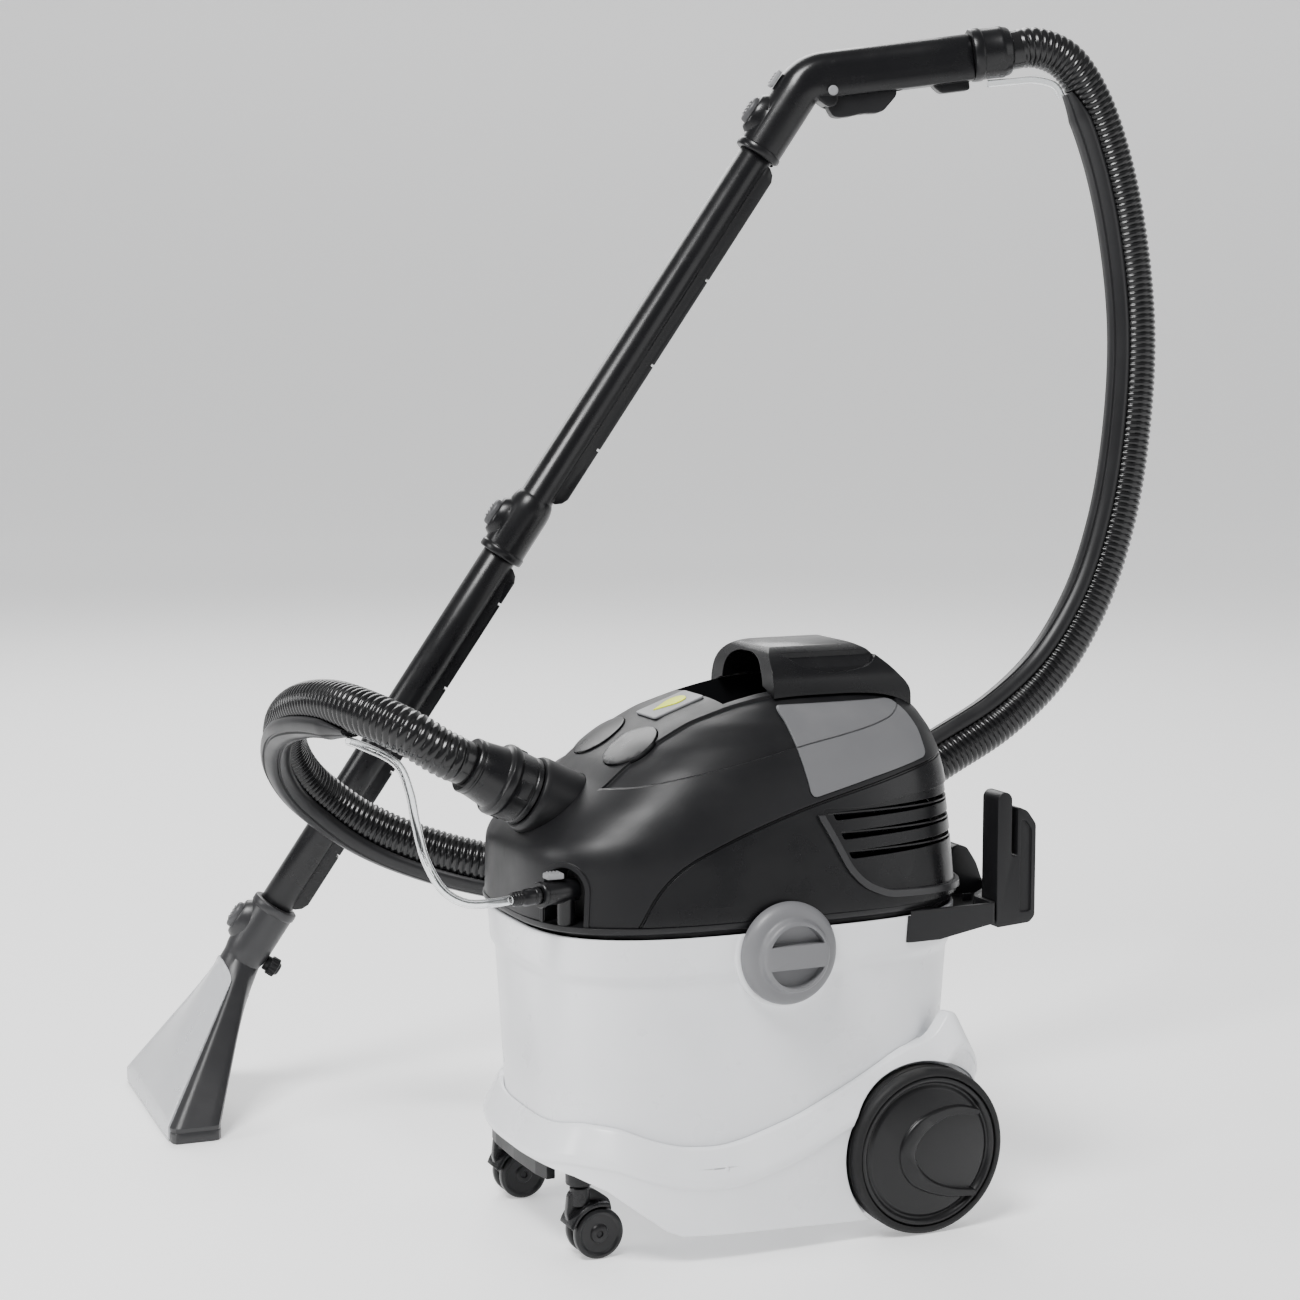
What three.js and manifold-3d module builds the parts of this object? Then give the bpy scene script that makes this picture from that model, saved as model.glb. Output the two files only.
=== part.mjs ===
// A spray-extraction carpet cleaner: wheeled tank machine, hose, wand and floor nozzle.
// Millimetres, +Z up. The front (hose port, casters) faces -X, the rear wheels are at +X,
// and +Y is the side on which the wand stands. The model is written about the tank's centre
// on the floor, and the exported group is then moved so that the origin is the bottom centre
// of everything except the hoses.
import * as THREE from 'three';
import { mergeVertices } from 'three/addons/utils/BufferGeometryUtils.js';
import { ConvexGeometry } from 'three/addons/geometries/ConvexGeometry.js';
import Module from 'manifold-3d';

const wasm = await Module();
wasm.setup();

// ---------------------------------------------------------------- driving dimensions
const ORIGIN = { x: 11.994, y: 202.775 };  // bottom centre of the rigid pieces, in the tank's frame
const GAP = 0.3;                          // clearance between neighbouring pieces
const ROUND = 3.3;                        // superellipse exponent of the tank and head plans
const PLAN_SEGS = 24;

const WHEEL = { x: 112, z: 67, r: 67, inner: 120.5, outer: 145, axle: 4 };
const CASTER = { x: -160, y: 80, trail: 12, r: 20, halfWidth: 12, stem: 5 };
const WELL_R = WHEEL.r + 3.5;
const DECK = { bottom: 73.5, top: 77.5 };
const TANK = { bottom: 78, rim: 253, wall: 3.2 };
const SEAL = { bottom: 253.3, top: 256 };
const HEAD = { bottom: 256.3, plateTop: 262, wall: 3.5 };
const KNOB = { x: -8, z: 236, r: 40, face: 28, outer: 150, spindle: 8 };
const FAN = { x: 50, r: 56, bottom: 273, top: 292 };
const PORT = { x: -172, y: -10, z: 352, tilt: 27, bore: 24.5, outer: 31 };
const HOSE = { r: 18.5, steps: 34, sides: 8 };
const LINE = { r: 3.5, sides: 8 };
const STRIP = { r: 5.5, offset: 25.2, sides: 6 };
const TUBE = { r: 16, wall: 1.8, bore: 16.35, sleeve: 20.5 };
const GRIP = { bend: 1124, kick: 49.5, length: 152, collarEnd: 190 };

// ---------------------------------------------------------------- materials
const paint = (hex, roughness, metalness = 0) =>
  new THREE.MeshStandardMaterial({ color: hex, roughness, metalness });
const white = paint(0xe9eaec, 0.42);
const black = paint(0x1b1b1d, 0.45);
const satinBlack = paint(0x111113, 0.35);
const grey = paint(0x77787b, 0.45);
const rubber = paint(0x161617, 0.85);
const steel = paint(0xb9bcc0, 0.3, 1);
const clear = paint(0xe6eef0, 0.08);
const accent = paint(0xd7df23, 0.4);
const natural = paint(0xc9ccc6, 0.5);

// ---------------------------------------------------------------- solid helpers
const AXIS_Y = new THREE.Vector3(0, 1, 0);
const AXIS_Z = new THREE.Vector3(0, 0, 1);
const v3 = (x, y, z) => new THREE.Vector3(x, y, z);
const deg = THREE.MathUtils.degToRad;

function solid(geometry) {
  let g = geometry.clone();
  g.deleteAttribute('normal');
  g.deleteAttribute('uv');
  g = mergeVertices(g, 1e-4);
  return new wasm.Manifold(new wasm.Mesh({
    numProp: 3,
    vertProperties: new Float32Array(g.attributes.position.array),
    triVerts: new Uint32Array(g.index.array),
  }));
}

function geometryOf(manifold) {
  const mesh = manifold.getMesh();
  const g = new THREE.BufferGeometry();
  g.setAttribute('position', new THREE.BufferAttribute(new Float32Array(mesh.vertProperties), 3));
  g.setIndex(new THREE.BufferAttribute(new Uint32Array(mesh.triVerts), 1));
  g.computeVertexNormals();
  return g;
}

const fuse = (first, ...rest) => rest.reduce((a, b) => a.add(b), first);
const cut = (first, ...rest) => rest.reduce((a, b) => a.subtract(b), first);

const outline = (points) => new THREE.Shape(points.map(([x, y]) => new THREE.Vector2(x, y)));

function slabZ(shape, z0, z1) {
  const g = new THREE.ExtrudeGeometry(shape, { depth: z1 - z0, bevelEnabled: false, curveSegments: 6 });
  return g.translate(0, 0, z0);
}

// A side outline (x, z) carried along Y.
function slabY(shape, y0, y1) {
  return slabZ(shape, 0, y1 - y0).rotateX(Math.PI / 2).translate(0, y1, 0);
}

// A front outline (y, z) carried along X.
function slabX(shape, x0, x1) {
  const turn = new THREE.Matrix4().makeBasis(v3(0, 1, 0), v3(0, 0, 1), v3(1, 0, 0));
  return slabZ(shape, x0, x1).applyMatrix4(turn);
}

function box(x0, x1, y0, y1, z0, z1) {
  const g = new THREE.BoxGeometry(x1 - x0, y1 - y0, z1 - z0);
  return g.translate((x0 + x1) / 2, (y0 + y1) / 2, (z0 + z1) / 2);
}

// Moves a geometry built about +Z so that its +Z lies along dir at place.
function aim(geometry, place, dir) {
  const turn = new THREE.Quaternion().setFromUnitVectors(AXIS_Z, dir.clone().normalize());
  return geometry.applyQuaternion(turn).translate(place.x, place.y, place.z);
}

function rod(r, from, to, sides = 14) {
  const along = to.clone().sub(from);
  const g = new THREE.CylinderGeometry(r, r, along.length(), sides);
  g.rotateX(Math.PI / 2).translate(0, 0, along.length() / 2);
  return aim(g, from, along);
}

// A closed [radius, height] profile turned about +Z.
function turned(profile, sides = 20) {
  const points = profile.map(([r, z]) => new THREE.Vector2(r, z));
  const onAxis = (p) => p[0] === 0;
  if (!onAxis(profile[0]) || !onAxis(profile[profile.length - 1])) points.push(points[0].clone());
  return new THREE.LatheGeometry(points, sides).rotateX(Math.PI / 2);
}

const ring = (rOut, rIn, z0, z1, sides = 20) =>
  turned([[rIn, z0], [rOut, z0], [rOut, z1], [rIn, z1]], sides);

// A solid whose horizontal sections are superellipses: rows of [z, front x, rear x, half width].
function stack(rows, grow = 0, segs = PLAN_SEGS, round = ROUND) {
  const g = new THREE.CylinderGeometry(1, 1, 1, segs, rows.length - 1);
  const p = g.attributes.position;
  const bend = (c) => Math.sign(c) * Math.abs(c) ** (2 / round);
  for (let i = 0; i < p.count; i++) {
    const [z, x0, x1, half] = rows[Math.round((p.getY(i) + 0.5) * (rows.length - 1))];
    const a = (x1 - x0) / 2 + grow;
    const b = half + grow;
    p.setXYZ(i, (x0 + x1) / 2 + a * bend(p.getX(i)), -b * bend(p.getZ(i)), z);
  }
  return g;
}

function superOutline(cx, a, b, round, segs = 40) {
  const bend = (c) => Math.sign(c) * Math.abs(c) ** (2 / round);
  const turns = Array.from({ length: segs }, (_, i) => (2 * Math.PI * i) / segs);
  return turns.map((t) => [cx + a * bend(Math.cos(t)), b * bend(Math.sin(t))]);
}

function sweep(curve, r, steps, sides) {
  const section = outline(Array.from({ length: sides }, (_, i) => {
    const t = (2 * Math.PI * i) / sides;
    return [r * Math.cos(t), r * Math.sin(t)];
  }));
  return new THREE.ExtrudeGeometry(section, { steps, bevelEnabled: false, extrudePath: curve });
}

const machine = new THREE.Group();
function piece(name, shape, material, parent = machine) {
  const geometry = shape.isBufferGeometry ? geometryOf(solid(shape)) : geometryOf(shape);
  const mesh = new THREE.Mesh(geometry, material);
  mesh.name = name;
  parent.add(mesh);
  return mesh;
}

const SIDES = [['near', -1], ['far', 1]];

// ---------------------------------------------------------------- tank casing
const tankRows = [
  [TANK.bottom, -173, 168, 117], [110, -174, 169, 119.5], [216, -180, 175, 125],
  [224, -184, 178, 128.5], [TANK.rim, -186, 181, 130]];
const wheelAxis = (y) => v3(WHEEL.x, y, WHEEL.z);
const wellCut = (r, from, side) => solid(rod(r, wheelAxis(side * from), wheelAxis(side * 200), 30));

function tankCasing() {
  const inner = tankRows.map(([z, a, b, c]) => [z, a + TANK.wall, b - TANK.wall, c - TANK.wall]);
  inner[0][0] = TANK.bottom + TANK.wall;
  inner.push([TANK.rim + 5, ...inner[inner.length - 1].slice(1)]);
  const shells = [solid(stack(tankRows)), solid(stack(inner))];
  const wells = SIDES.map(([, s]) => wellCut(WELL_R + 3.5, 116.5, s));
  const floor = solid(stack([[DECK.top + 0.5, -172, 167, 116.5], [TANK.bottom + 6, -172, 167, 117]]));
  const bores = SIDES.map(([, s]) =>
    solid(rod(KNOB.spindle + GAP, v3(KNOB.x, s * 100, KNOB.z), v3(KNOB.x, s * 140, KNOB.z))));
  return cut(cut(...shells).add(floor.intersect(shells[0])), ...wells, ...bores);
}
piece('outer_tank', tankCasing(), white);

// ---------------------------------------------------------------- chassis
const chassisTop = [
  [184, 118], [172, 148], [160, 166], [150, 177], [143, 178], [136, 156], [121, 151], [96, 147],
  [57, 130], [4, 102], [-41, 89], [-60, 86], [-92, 88], [-146, 105], [-176, 111], [-192, 98]];
const chassisBottom = [
  [-192, 72], [-186, 72], [-150, 60], [-100, 24], [60, 16], [112, 16], [184, 100]];

function chassis() {
  const planFront = superOutline(-3, 186, 139, ROUND).filter(([x]) => x <= 10);
  const planRear = superOutline(-3, 183, 139, 7).filter(([x]) => x > 10);
  const upper = planRear.filter(([, y]) => y >= 0);
  const lower = planRear.filter(([, y]) => y < 0);
  const plan = solid(slabZ(outline([...upper, ...planFront, ...lower]), 0, 200));
  const drop = (d) => outline([...chassisTop.map(([x, z]) => [x, z - d]), ...chassisBottom]);
  const steps = [[128, 0], [132, 4], [136, 8], [145, 11]].map(([half, d]) =>
    solid(slabY(drop(d), -half, half)));
  const outer = plan.intersect(fuse(...steps));
  const cavityRows = tankRows.map(([z, a, b, c]) => [z, a - 0.5, b + 0.5, c + 0.5]);
  cavityRows[0][0] = DECK.top;
  const seat = cut(solid(stack(cavityRows)), ...SIDES.map(([, s]) => wellCut(WELL_R + 3.1, 116.9, s)));
  const under = [
    solid(slabZ(outline(superOutline(-3, 181, 134.5, ROUND)), 0, DECK.bottom))
      .intersect(solid(box(-200, 34, -140, 140, 0, DECK.bottom))),
    solid(box(33.9, 176, -114, 114, 0, DECK.bottom))];
  const wells = SIDES.flatMap(([, s]) => [
    wellCut(WELL_R, 119.5, s),
    solid(box(WHEEL.x, 200, Math.min(s * 200, s * 119.5), Math.max(s * 200, s * 119.5), 0, 108))]);
  const axleBore = solid(rod(WHEEL.axle + GAP, wheelAxis(-160), wheelAxis(160)));
  const sockets = SIDES.map(([, s]) => {
    const at = (z) => v3(CASTER.x, s * CASTER.y, z);
    return [solid(rod(11, at(58), at(DECK.bottom + 1))), solid(rod(CASTER.stem + GAP, at(50), at(75.5)))];
  });
  const body = cut(outer, seat, ...under, ...wells);
  const trimmed = body.add(sockets[0][0]).add(sockets[1][0]);
  return cut(trimmed, axleBore, sockets[0][1], sockets[1][1]);
}
piece('chassis', chassis(), white);

function bumper() {
  const outer = solid(slabZ(outline(superOutline(-3, 180.5, 134, ROUND)), 58, DECK.bottom - GAP));
  const inner = solid(slabZ(outline(superOutline(-3, 174, 128, ROUND)), 50, 90));
  return cut(outer, inner).intersect(solid(box(-200, -150, -60, 60, 50, 90)));
}
piece('front_bumper', bumper(), black);

// ---------------------------------------------------------------- rear axle, wheels and tyres
piece('rear_axle', rod(WHEEL.axle, wheelAxis(-WHEEL.outer + 6), wheelAxis(WHEEL.outer - 6), 20), steel);

for (const [side, s] of SIDES) {
  const depth = WHEEL.outer - WHEEL.inner;
  const disc = turned([
    [WHEEL.axle + GAP, 0], [14, 0], [14, 5], [52, 5], [52, 1], [60.5, 1], [60.5, depth - 3],
    [56, depth - 1], [50, depth - 4], [47, depth - 2], [0, depth - 2], [0, depth - 5],
    [WHEEL.axle + GAP, depth - 5]], 24);
  const tread = turned([
    [60.8, 1], [65, 1], [WHEEL.r, 4], [WHEEL.r, depth - 4], [64.5, depth], [60.8, depth]], 24);
  const out = v3(0, s, 0);
  piece(`wheel_${side}`, aim(disc, wheelAxis(s * WHEEL.inner), out), black);
  piece(`tyre_${side}`, aim(tread, wheelAxis(s * WHEEL.inner), out), rubber);
}

// ---------------------------------------------------------------- front casters
for (const [side, s] of SIDES) {
  const y = s * CASTER.y;
  const hub = v3(CASTER.x + CASTER.trail, y, CASTER.r);
  const along = (g) => aim(g, hub, AXIS_Y);
  const hood = fuse(
    solid(slabY(outline([[-172, 34], [-170, 52], [-162, 56], [-150, 54], [-136, 44], [-134, 34],
      [-140, 30], [-140, 15], [-152, 13], [-166, 20]]), y - 3.2, y + 3.2)),
    solid(rod(8, v3(CASTER.x, y, 44), v3(CASTER.x, y, 57))),
    solid(rod(CASTER.stem, v3(CASTER.x, y, 56), v3(CASTER.x, y, 74.5))));
  const shroud = cut(
    solid(along(ring(CASTER.r + 5, CASTER.r + 1.5, -CASTER.halfWidth, CASTER.halfWidth, 20))),
    solid(box(-200, 0, y - 20, y + 20, -20, CASTER.r + 8)),
    solid(box(hub.x + 8, 0, y - 20, y + 20, -20, 60)));
  const hubBore = solid(along(rod(5.4, v3(0, 0, -20), v3(0, 0, 20))));
  piece(`caster_fork_${side}`, cut(hood.add(shroud), hubBore), black);
  const pin = rod(2.5, v3(0, 0, -CASTER.halfWidth + 1), v3(0, 0, CASTER.halfWidth - 1));
  piece(`caster_axle_${side}`, along(pin), steel);
  const half = [[5, 0], [5, 3.6], [CASTER.r - 2, 3.6], [CASTER.r, 5], [CASTER.r, 10.5],
    [CASTER.r - 1.5, 12], [2.8, 12]];
  const twin = [...half.map(([r, z]) => [r, -z]).reverse(), ...half.slice(1)];
  piece(`caster_wheels_${side}`, along(turned(twin, 18)), black);
}

// ---------------------------------------------------------------- locking knobs
for (const [side, s] of SIDES) {
  const tankSide = 130.5;
  const depth = KNOB.outer - tankSide;
  const place = v3(KNOB.x, s * tankSide, KNOB.z);
  const body = solid(aim(turned([
    [0, 0], [KNOB.r, 0], [KNOB.r, 4], [KNOB.r - 3, 10], [KNOB.face + 2, 12], [KNOB.face, depth - 2],
    [KNOB.face - 2, depth], [0, depth]], 22), place, v3(0, s, 0)));
  const recess = [1, -1].map((k) => {
    const z = KNOB.z + k * 8;
    const disc = solid(rod(KNOB.face - 4, v3(KNOB.x, s * 140, KNOB.z), v3(KNOB.x, s * 170, KNOB.z), 18));
    const half = k > 0 ? box(-60, 60, -200, 200, z, 300) : box(-60, 60, -200, 200, 150, z);
    return disc.intersect(solid(half));
  });
  const socket = solid(rod(6.3, v3(KNOB.x, s * 125, KNOB.z), v3(KNOB.x, s * 138, KNOB.z), 20));
  piece(`lock_knob_${side}`, cut(body, ...recess, socket), grey);
  const cam = fuse(
    solid(rod(KNOB.spindle, v3(KNOB.x, s * 120.4, KNOB.z), v3(KNOB.x, s * 130.2, KNOB.z), 16)),
    solid(rod(6, v3(KNOB.x, s * 130, KNOB.z), v3(KNOB.x, s * 137.5, KNOB.z), 20)),
    solid(slabY(outline([[-15, -4], [2, -5], [2, 5], [-15, 4]]), s * 120.4 - 0.1, s * 120.4 + 3.4)
      .translate(KNOB.x, s < 0 ? -3.2 : 0, KNOB.z)));
  piece(`lock_cam_${side}`, cam, black);
}

// ---------------------------------------------------------------- rear bracket and storage hooks
const HOOK = { x0: 183.2, x1: 219, y0: 99, y1: 123 };
const mirrored = (points) => [...points, ...points.map(([x, y]) => [x, -y]).reverse()];

function rearBracket() {
  const shelf = solid(slabZ(outline(mirrored([
    [100, -125], [HOOK.x0 - GAP, -125], [HOOK.x0 - GAP, -93], [204, -72], [222, -40]])), 232, 257));
  const lowered = solid(slabZ(outline(mirrored([
    [100, -121.5], [HOOK.x0 - 3.5, -121.5], [HOOK.x0 - 3.5, -91], [202, -69], [218.5, -38]])), 246, 270));
  const underside = solid(slabY(outline([
    [80, 220], [80, 231], [124, 231], [HOOK.x0 - GAP, 241], [240, 241], [240, 220]]), -140, 140));
  const rise = solid(slabY(outline([
    [190, 242], [190, 284], [196, 288], [205, 285], [215, 272], [221, 256], [221, 242]]), -39, 39));
  const away = tankRows.map(([z, a, b, c]) => [z, a - GAP, b + GAP, c + GAP]);
  const headRoom = solid(stack([[253.3, -190, 186, 131], [300, -190, 186, 131]]));
  return cut(fuse(cut(shelf, lowered, underside), rise), solid(stack(away)), headRoom);
}
piece('rear_bracket', rearBracket(), black);

const hookOutline = outline([
  [HOOK.x0, 226], [214, 226], [HOOK.x1, 231], [HOOK.x1, 318], [211, 329], [202, 333], [202, 293],
  [196.5, 293], [196.5, 341], [193, 345], [187, 345], [HOOK.x0, 341]]);
for (const [side, s] of SIDES) {
  const [y0, y1] = s < 0 ? [-HOOK.y1, -HOOK.y0] : [HOOK.y0, HOOK.y1];
  piece(`storage_hook_${side}`, slabY(hookOutline, y0, y1), black);
}

// ---------------------------------------------------------------- two-in-one liquid container
const bucketRows = [
  [TANK.bottom + 6.6, -163, 158, 103], [150, -166, 161, 106], [240, -170, 165, 108.5]];

function container() {
  const inner = bucketRows.map(([z, a, b, c]) => [z, a + 2.5, b - 2.5, c - 2.5]);
  inner[0][0] += 2.5;
  inner.push([250, ...inner[2].slice(1)]);
  const shell = cut(solid(stack(bucketRows, 0, 32)), solid(stack(inner, 0, 32)));
  const wall = solid(box(-2, 1, -104, 104, TANK.bottom + 8, 222)).intersect(solid(stack(bucketRows)));
  const bar = solid(rod(6, v3(-95, -105, 228), v3(-95, 105, 228), 16)).intersect(
    solid(stack(bucketRows)));
  return cut(fuse(shell, wall, bar), ...SIDES.map(([, s]) => wellCut(WELL_R + 12, 103.5, s)))
    .add(solid(stack(bucketRows, 0, 32)).intersect(fuse(...SIDES.map(([, s]) =>
      cut(wellCut(WELL_R + 14.5, 101, s), wellCut(WELL_R + 12, 103.5, s))))));
}
piece('liquid_container', container(), natural);

// ---------------------------------------------------------------- rim seal and head base
piece('rim_seal', cut(
  solid(stack([[SEAL.bottom, -181, 176, 125], [SEAL.top, -181, 176, 125]])),
  solid(stack([[SEAL.bottom - 1, -175, 170, 119], [SEAL.top + 1, -175, 170, 119]]))), rubber);

const fanAxis = (z) => v3(FAN.x, 0, z);
function headBase() {
  const level = (z, k) => [z, -190 + k, 182 - k, 128.5 - k];
  const plate = solid(stack([level(HEAD.bottom, 1), level(HEAD.plateTop, 0)]));
  const spigot = cut(
    solid(stack([[244, -173, 168, 117], [HEAD.bottom + 1, -173, 168, 117]])),
    solid(stack([[240, -170, 165, 114], [HEAD.bottom, -170, 165, 114]])));
  const posts = [[46, 46], [46, -46], [-46, 46], [-46, -46]].map(([x, y]) =>
    solid(rod(4, v3(FAN.x + x, y, 261), v3(FAN.x + x, y, 298.7), 12)));
  const inlet = solid(rod(15, fanAxis(240), fanAxis(270)));
  return cut(fuse(plate, spigot, ...posts), inlet);
}
piece('head_base', headBase(), black);

// ---------------------------------------------------------------- head: shells and their cuts
const headRows = [
  [262.3, -190, 182, 128.5], [312, -190, 178, 122], [322, -184, 177, 120.5],
  [345, -155, 174, 116.5], [362, -131, 171, 112], [376, -115, 168, 106], [392, -92, 162, 97],
  [407, -65, 153, 84], [418, -34, 142, 68], [429, 2, 124, 46], [436, 30, 100, 24]];
const headSkin = (grow) => solid(stack(headRows, grow));

function headCavity() {
  const rows = headRows.map(([z, a, b, c], i) => [z - (i > 2 ? HEAD.wall * 0.9 : 0), a, b, c]);
  rows[0][0] = 255;
  return solid(stack(rows, -HEAD.wall));
}

const seam = [
  [-132, 250], [-125, 262], [-109, 288], [-90, 305], [-61, 319], [-19, 334], [23, 346], [76, 358],
  [129, 369], [240, 384]];
const behindSeam = (dx, dz) => solid(slabY(outline(
  [...seam, [240, 240]].map(([x, z]) => [x + dx, z + dz])), -160, 160));
const sidePanelOutline = (grow) => outline([
  [12 - grow, 418 + grow], [20 - grow, 350 - grow], [76, 362.5 - grow], [134 + grow, 374 - grow],
  [130 + grow, 400 + grow], [118 + grow, 418 + grow]]);

const pocket = (grow) => solid(slabY(outline([
  [-30 - grow, 475], [-24 - grow, 424], [-14 - grow, 404 - grow], [66 + grow, 404 - grow],
  [80 + grow, 418], [80 + grow, 475]]), -46 - grow, 46 + grow));

const plugDir = v3(-0.96, -0.28, 0).normalize();
const plugSeat = v3(-170, -79, 288);
function arch(grow) {
  return fuse(
    solid(aim(new THREE.CylinderGeometry(18 + grow, 18 + grow, 44 + 2 * grow, 14).rotateX(Math.PI / 2),
      plugSeat.clone().addScaledVector(plugDir, 10), plugDir)),
    solid(box(-22 - grow, 22 + grow, -18 - grow, 18 + grow, -40, 0)
      .rotateZ(Math.atan2(plugDir.y, plugDir.x))
      .translate(plugSeat.x + plugDir.x * 10, plugSeat.y + plugDir.y * 10, plugSeat.z)));
}

const portAxis = v3(-Math.cos(deg(PORT.tilt)), 0, Math.sin(deg(PORT.tilt)));
const portMouth = v3(PORT.x, PORT.y, PORT.z);
const alongPort = (d) => portMouth.clone().addScaledVector(portAxis, d);

const SWITCH_R = 24;
const switchDir = v3(-0.57, 0, 0.82).normalize();
const switchAt = (s, d) => v3(-97, s * 31, 389).addScaledVector(switchDir, d);

function headShells() {
  const skin = headSkin(0);
  const shell = cut(skin, headCavity());
  const pocketWalls = pocket(3).intersect(skin);
  const archWalls = arch(2.5).intersect(skin);
  const lined = cut(fuse(shell, pocketWalls, archWalls), pocket(0), arch(0),
    solid(box(-300, 300, -300, 300, 200, HEAD.plateTop + GAP)));
  const louvres = [0, 1, 2].flatMap((i) => SIDES.map(([, s]) => {
    const z = 299 + 17 * i;
    const [y0, y1] = s < 0 ? [-140, -56] : [56, 140];
    return solid(box(46 - 6 * i, 220, y0, y1, z, z + 5.5));
  }));
  const inset = cut(headSkin(3), headSkin(-1.5)).intersect(solid(slabY(sidePanelOutline(0.4), -160, 160)));
  const insetSides = cut(inset, solid(box(-300, 300, -30, 30, 300, 500)));
  const portHole = solid(rod(PORT.outer + GAP, alongPort(-60), alongPort(40), 24));
  const switchHoles = SIDES.map(([, s]) => solid(rod(SWITCH_R + 0.6, switchAt(s, -30), switchAt(s, 30), 24)));
  const glandHole = solid(rod(8.3, v3(150, 62, 284), v3(220, 62, 284), 20));
  const front = cut(lined, behindSeam(-0.4, 0.5), insetSides, portHole, ...switchHoles);
  const rear = cut(lined.intersect(behindSeam(0, 0)), ...louvres, glandHole);
  return [front, rear];
}
const [frontShell, rearHousing] = headShells();
piece('head_front_shell', frontShell, black);
piece('vent_housing', rearHousing, satinBlack);

for (const [side, s] of SIDES) {
  const skin = cut(headSkin(1.2), headSkin(-1.2)).intersect(solid(slabY(sidePanelOutline(0), -160, 160)));
  const half = s < 0 ? box(-300, 300, -200, -30, 300, 500) : box(-300, 300, 30, 200, 300, 500);
  piece(`side_panel_${side}`, skin.intersect(solid(half)), grey);
}

function carryHandle() {
  const side = solid(slabY(outline([
    [16, 415], [17, 446], [21, 456], [30, 461], [50, 462.5], [94, 462], [108, 456], [127, 438], [138, 424],
    [138, 412]]), -60, 60));
  const front = solid(slabX(outline([
    [-58, 405], [-57, 434], [-50, 446], [-38, 456], [-24, 461.5], [0, 463], [24, 461.5], [38, 456],
    [50, 446], [57, 434], [58, 405]]), -20, 150));
  const away = solid(stack(headRows.map(([z, a, b, c], i) => [z + (i > 2 ? 0.5 : 0), a, b, c]), GAP));
  const tunnel = solid(slabX(outline([
    [-37, 400], [-37, 437], [-30, 447], [-16, 453.5], [16, 453.5], [30, 447], [37, 437],
    [37, 400]]), -20, 78));
  const grip = solid(rod(8, v3(40, 0, 441), v3(80, 0, 441), 20));
  return cut(cut(side.intersect(front), tunnel).add(grip), away);
}
piece('carry_handle', carryHandle(), black);

for (const [name, s] of [['suction_switch', -1], ['spray_switch', 1]]) {
  const cap = turned([[0, -12], [6, -12], [6, -4], [SWITCH_R, -4],
    [SWITCH_R, 2], [SWITCH_R - 2, 4.2], [0, 4.6]], 24);
  piece(name, aim(cap, switchAt(s, 0), switchDir), black);
}

// ---------------------------------------------------------------- ports on the head
piece('hose_port', aim(turned([[PORT.bore, -46], [PORT.outer, -46], [PORT.outer, 0], [PORT.outer - 2, 3],
  [PORT.bore + 1, 3], [PORT.bore, 1]], 24), portMouth, portAxis), black);

const plugAt = (d) => plugSeat.clone().addScaledVector(plugDir, d);
piece('spray_elbow', fuse(
  solid(rod(9, plugAt(-6), plugAt(26), 24)),
  solid(rod(7, v3(plugSeat.x, plugSeat.y, HEAD.plateTop + GAP), plugSeat, 20))), satinBlack);
piece('spray_release', aim(slabZ(outline([[-7, -5], [7, -5], [7, 5], [-7, 5]]), 0, 4.5),
  plugAt(12).add(v3(0, 0, 10.8)), AXIS_Z), grey);
piece('spray_plug', aim(turned([[0, 0], [6.5, 0], [6.5, 14], [5, 16], [5, 26], [0, 26]], 20),
  plugAt(26.4), plugDir), satinBlack);
piece('cable_gland', rod(8, v3(172, 62, 284), v3(206, 62, 284), 20), rubber);

// ---------------------------------------------------------------- suction motor, fan and pump
piece('suction_motor', turned([[0, 268], [4, 268], [4, 299], [72, 299], [72, 303], [46, 303], [46, 392],
  [20, 398], [0, 398]], 24).translate(FAN.x, 0, 0), steel);
piece('fan_rotor', turned([[4.3, FAN.bottom], [FAN.r, FAN.bottom], [FAN.r, FAN.bottom + 3], [18, FAN.top],
  [4.3, FAN.top]], 24).translate(FAN.x, 0, 0), natural);
piece('spray_pump', fuse(
  solid(box(-100, -48, 20, 62, HEAD.plateTop + GAP, 304)),
  solid(rod(5, v3(-74, 41, 300), v3(-74, 41, 316), 16))), black);

// ---------------------------------------------------------------- pieces hanging into the container
function floatCage() {
  const wall = solid(ring(24, 21.5, 206, 256));
  const windows = [box(-30, 30, -9, 9, 214, 246), box(-9, 9, -30, 30, 214, 246)];
  const floor = solid(ring(24, 8, 203, 206.5));
  return cut(wall, ...windows.map(solid)).add(floor).translate(FAN.x, 0, 0);
}
piece('float_cage', floatCage(), black);
piece('float_ball', new THREE.SphereGeometry(18, 16, 10).translate(FAN.x, 0, 226), accent);
piece('intake_tube', fuse(
  solid(rod(5, v3(-45, -45, 100), v3(-45, -45, 256), 16)),
  solid(rod(14, v3(-45, -45, 90), v3(-45, -45, 112), 24))), black);

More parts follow.
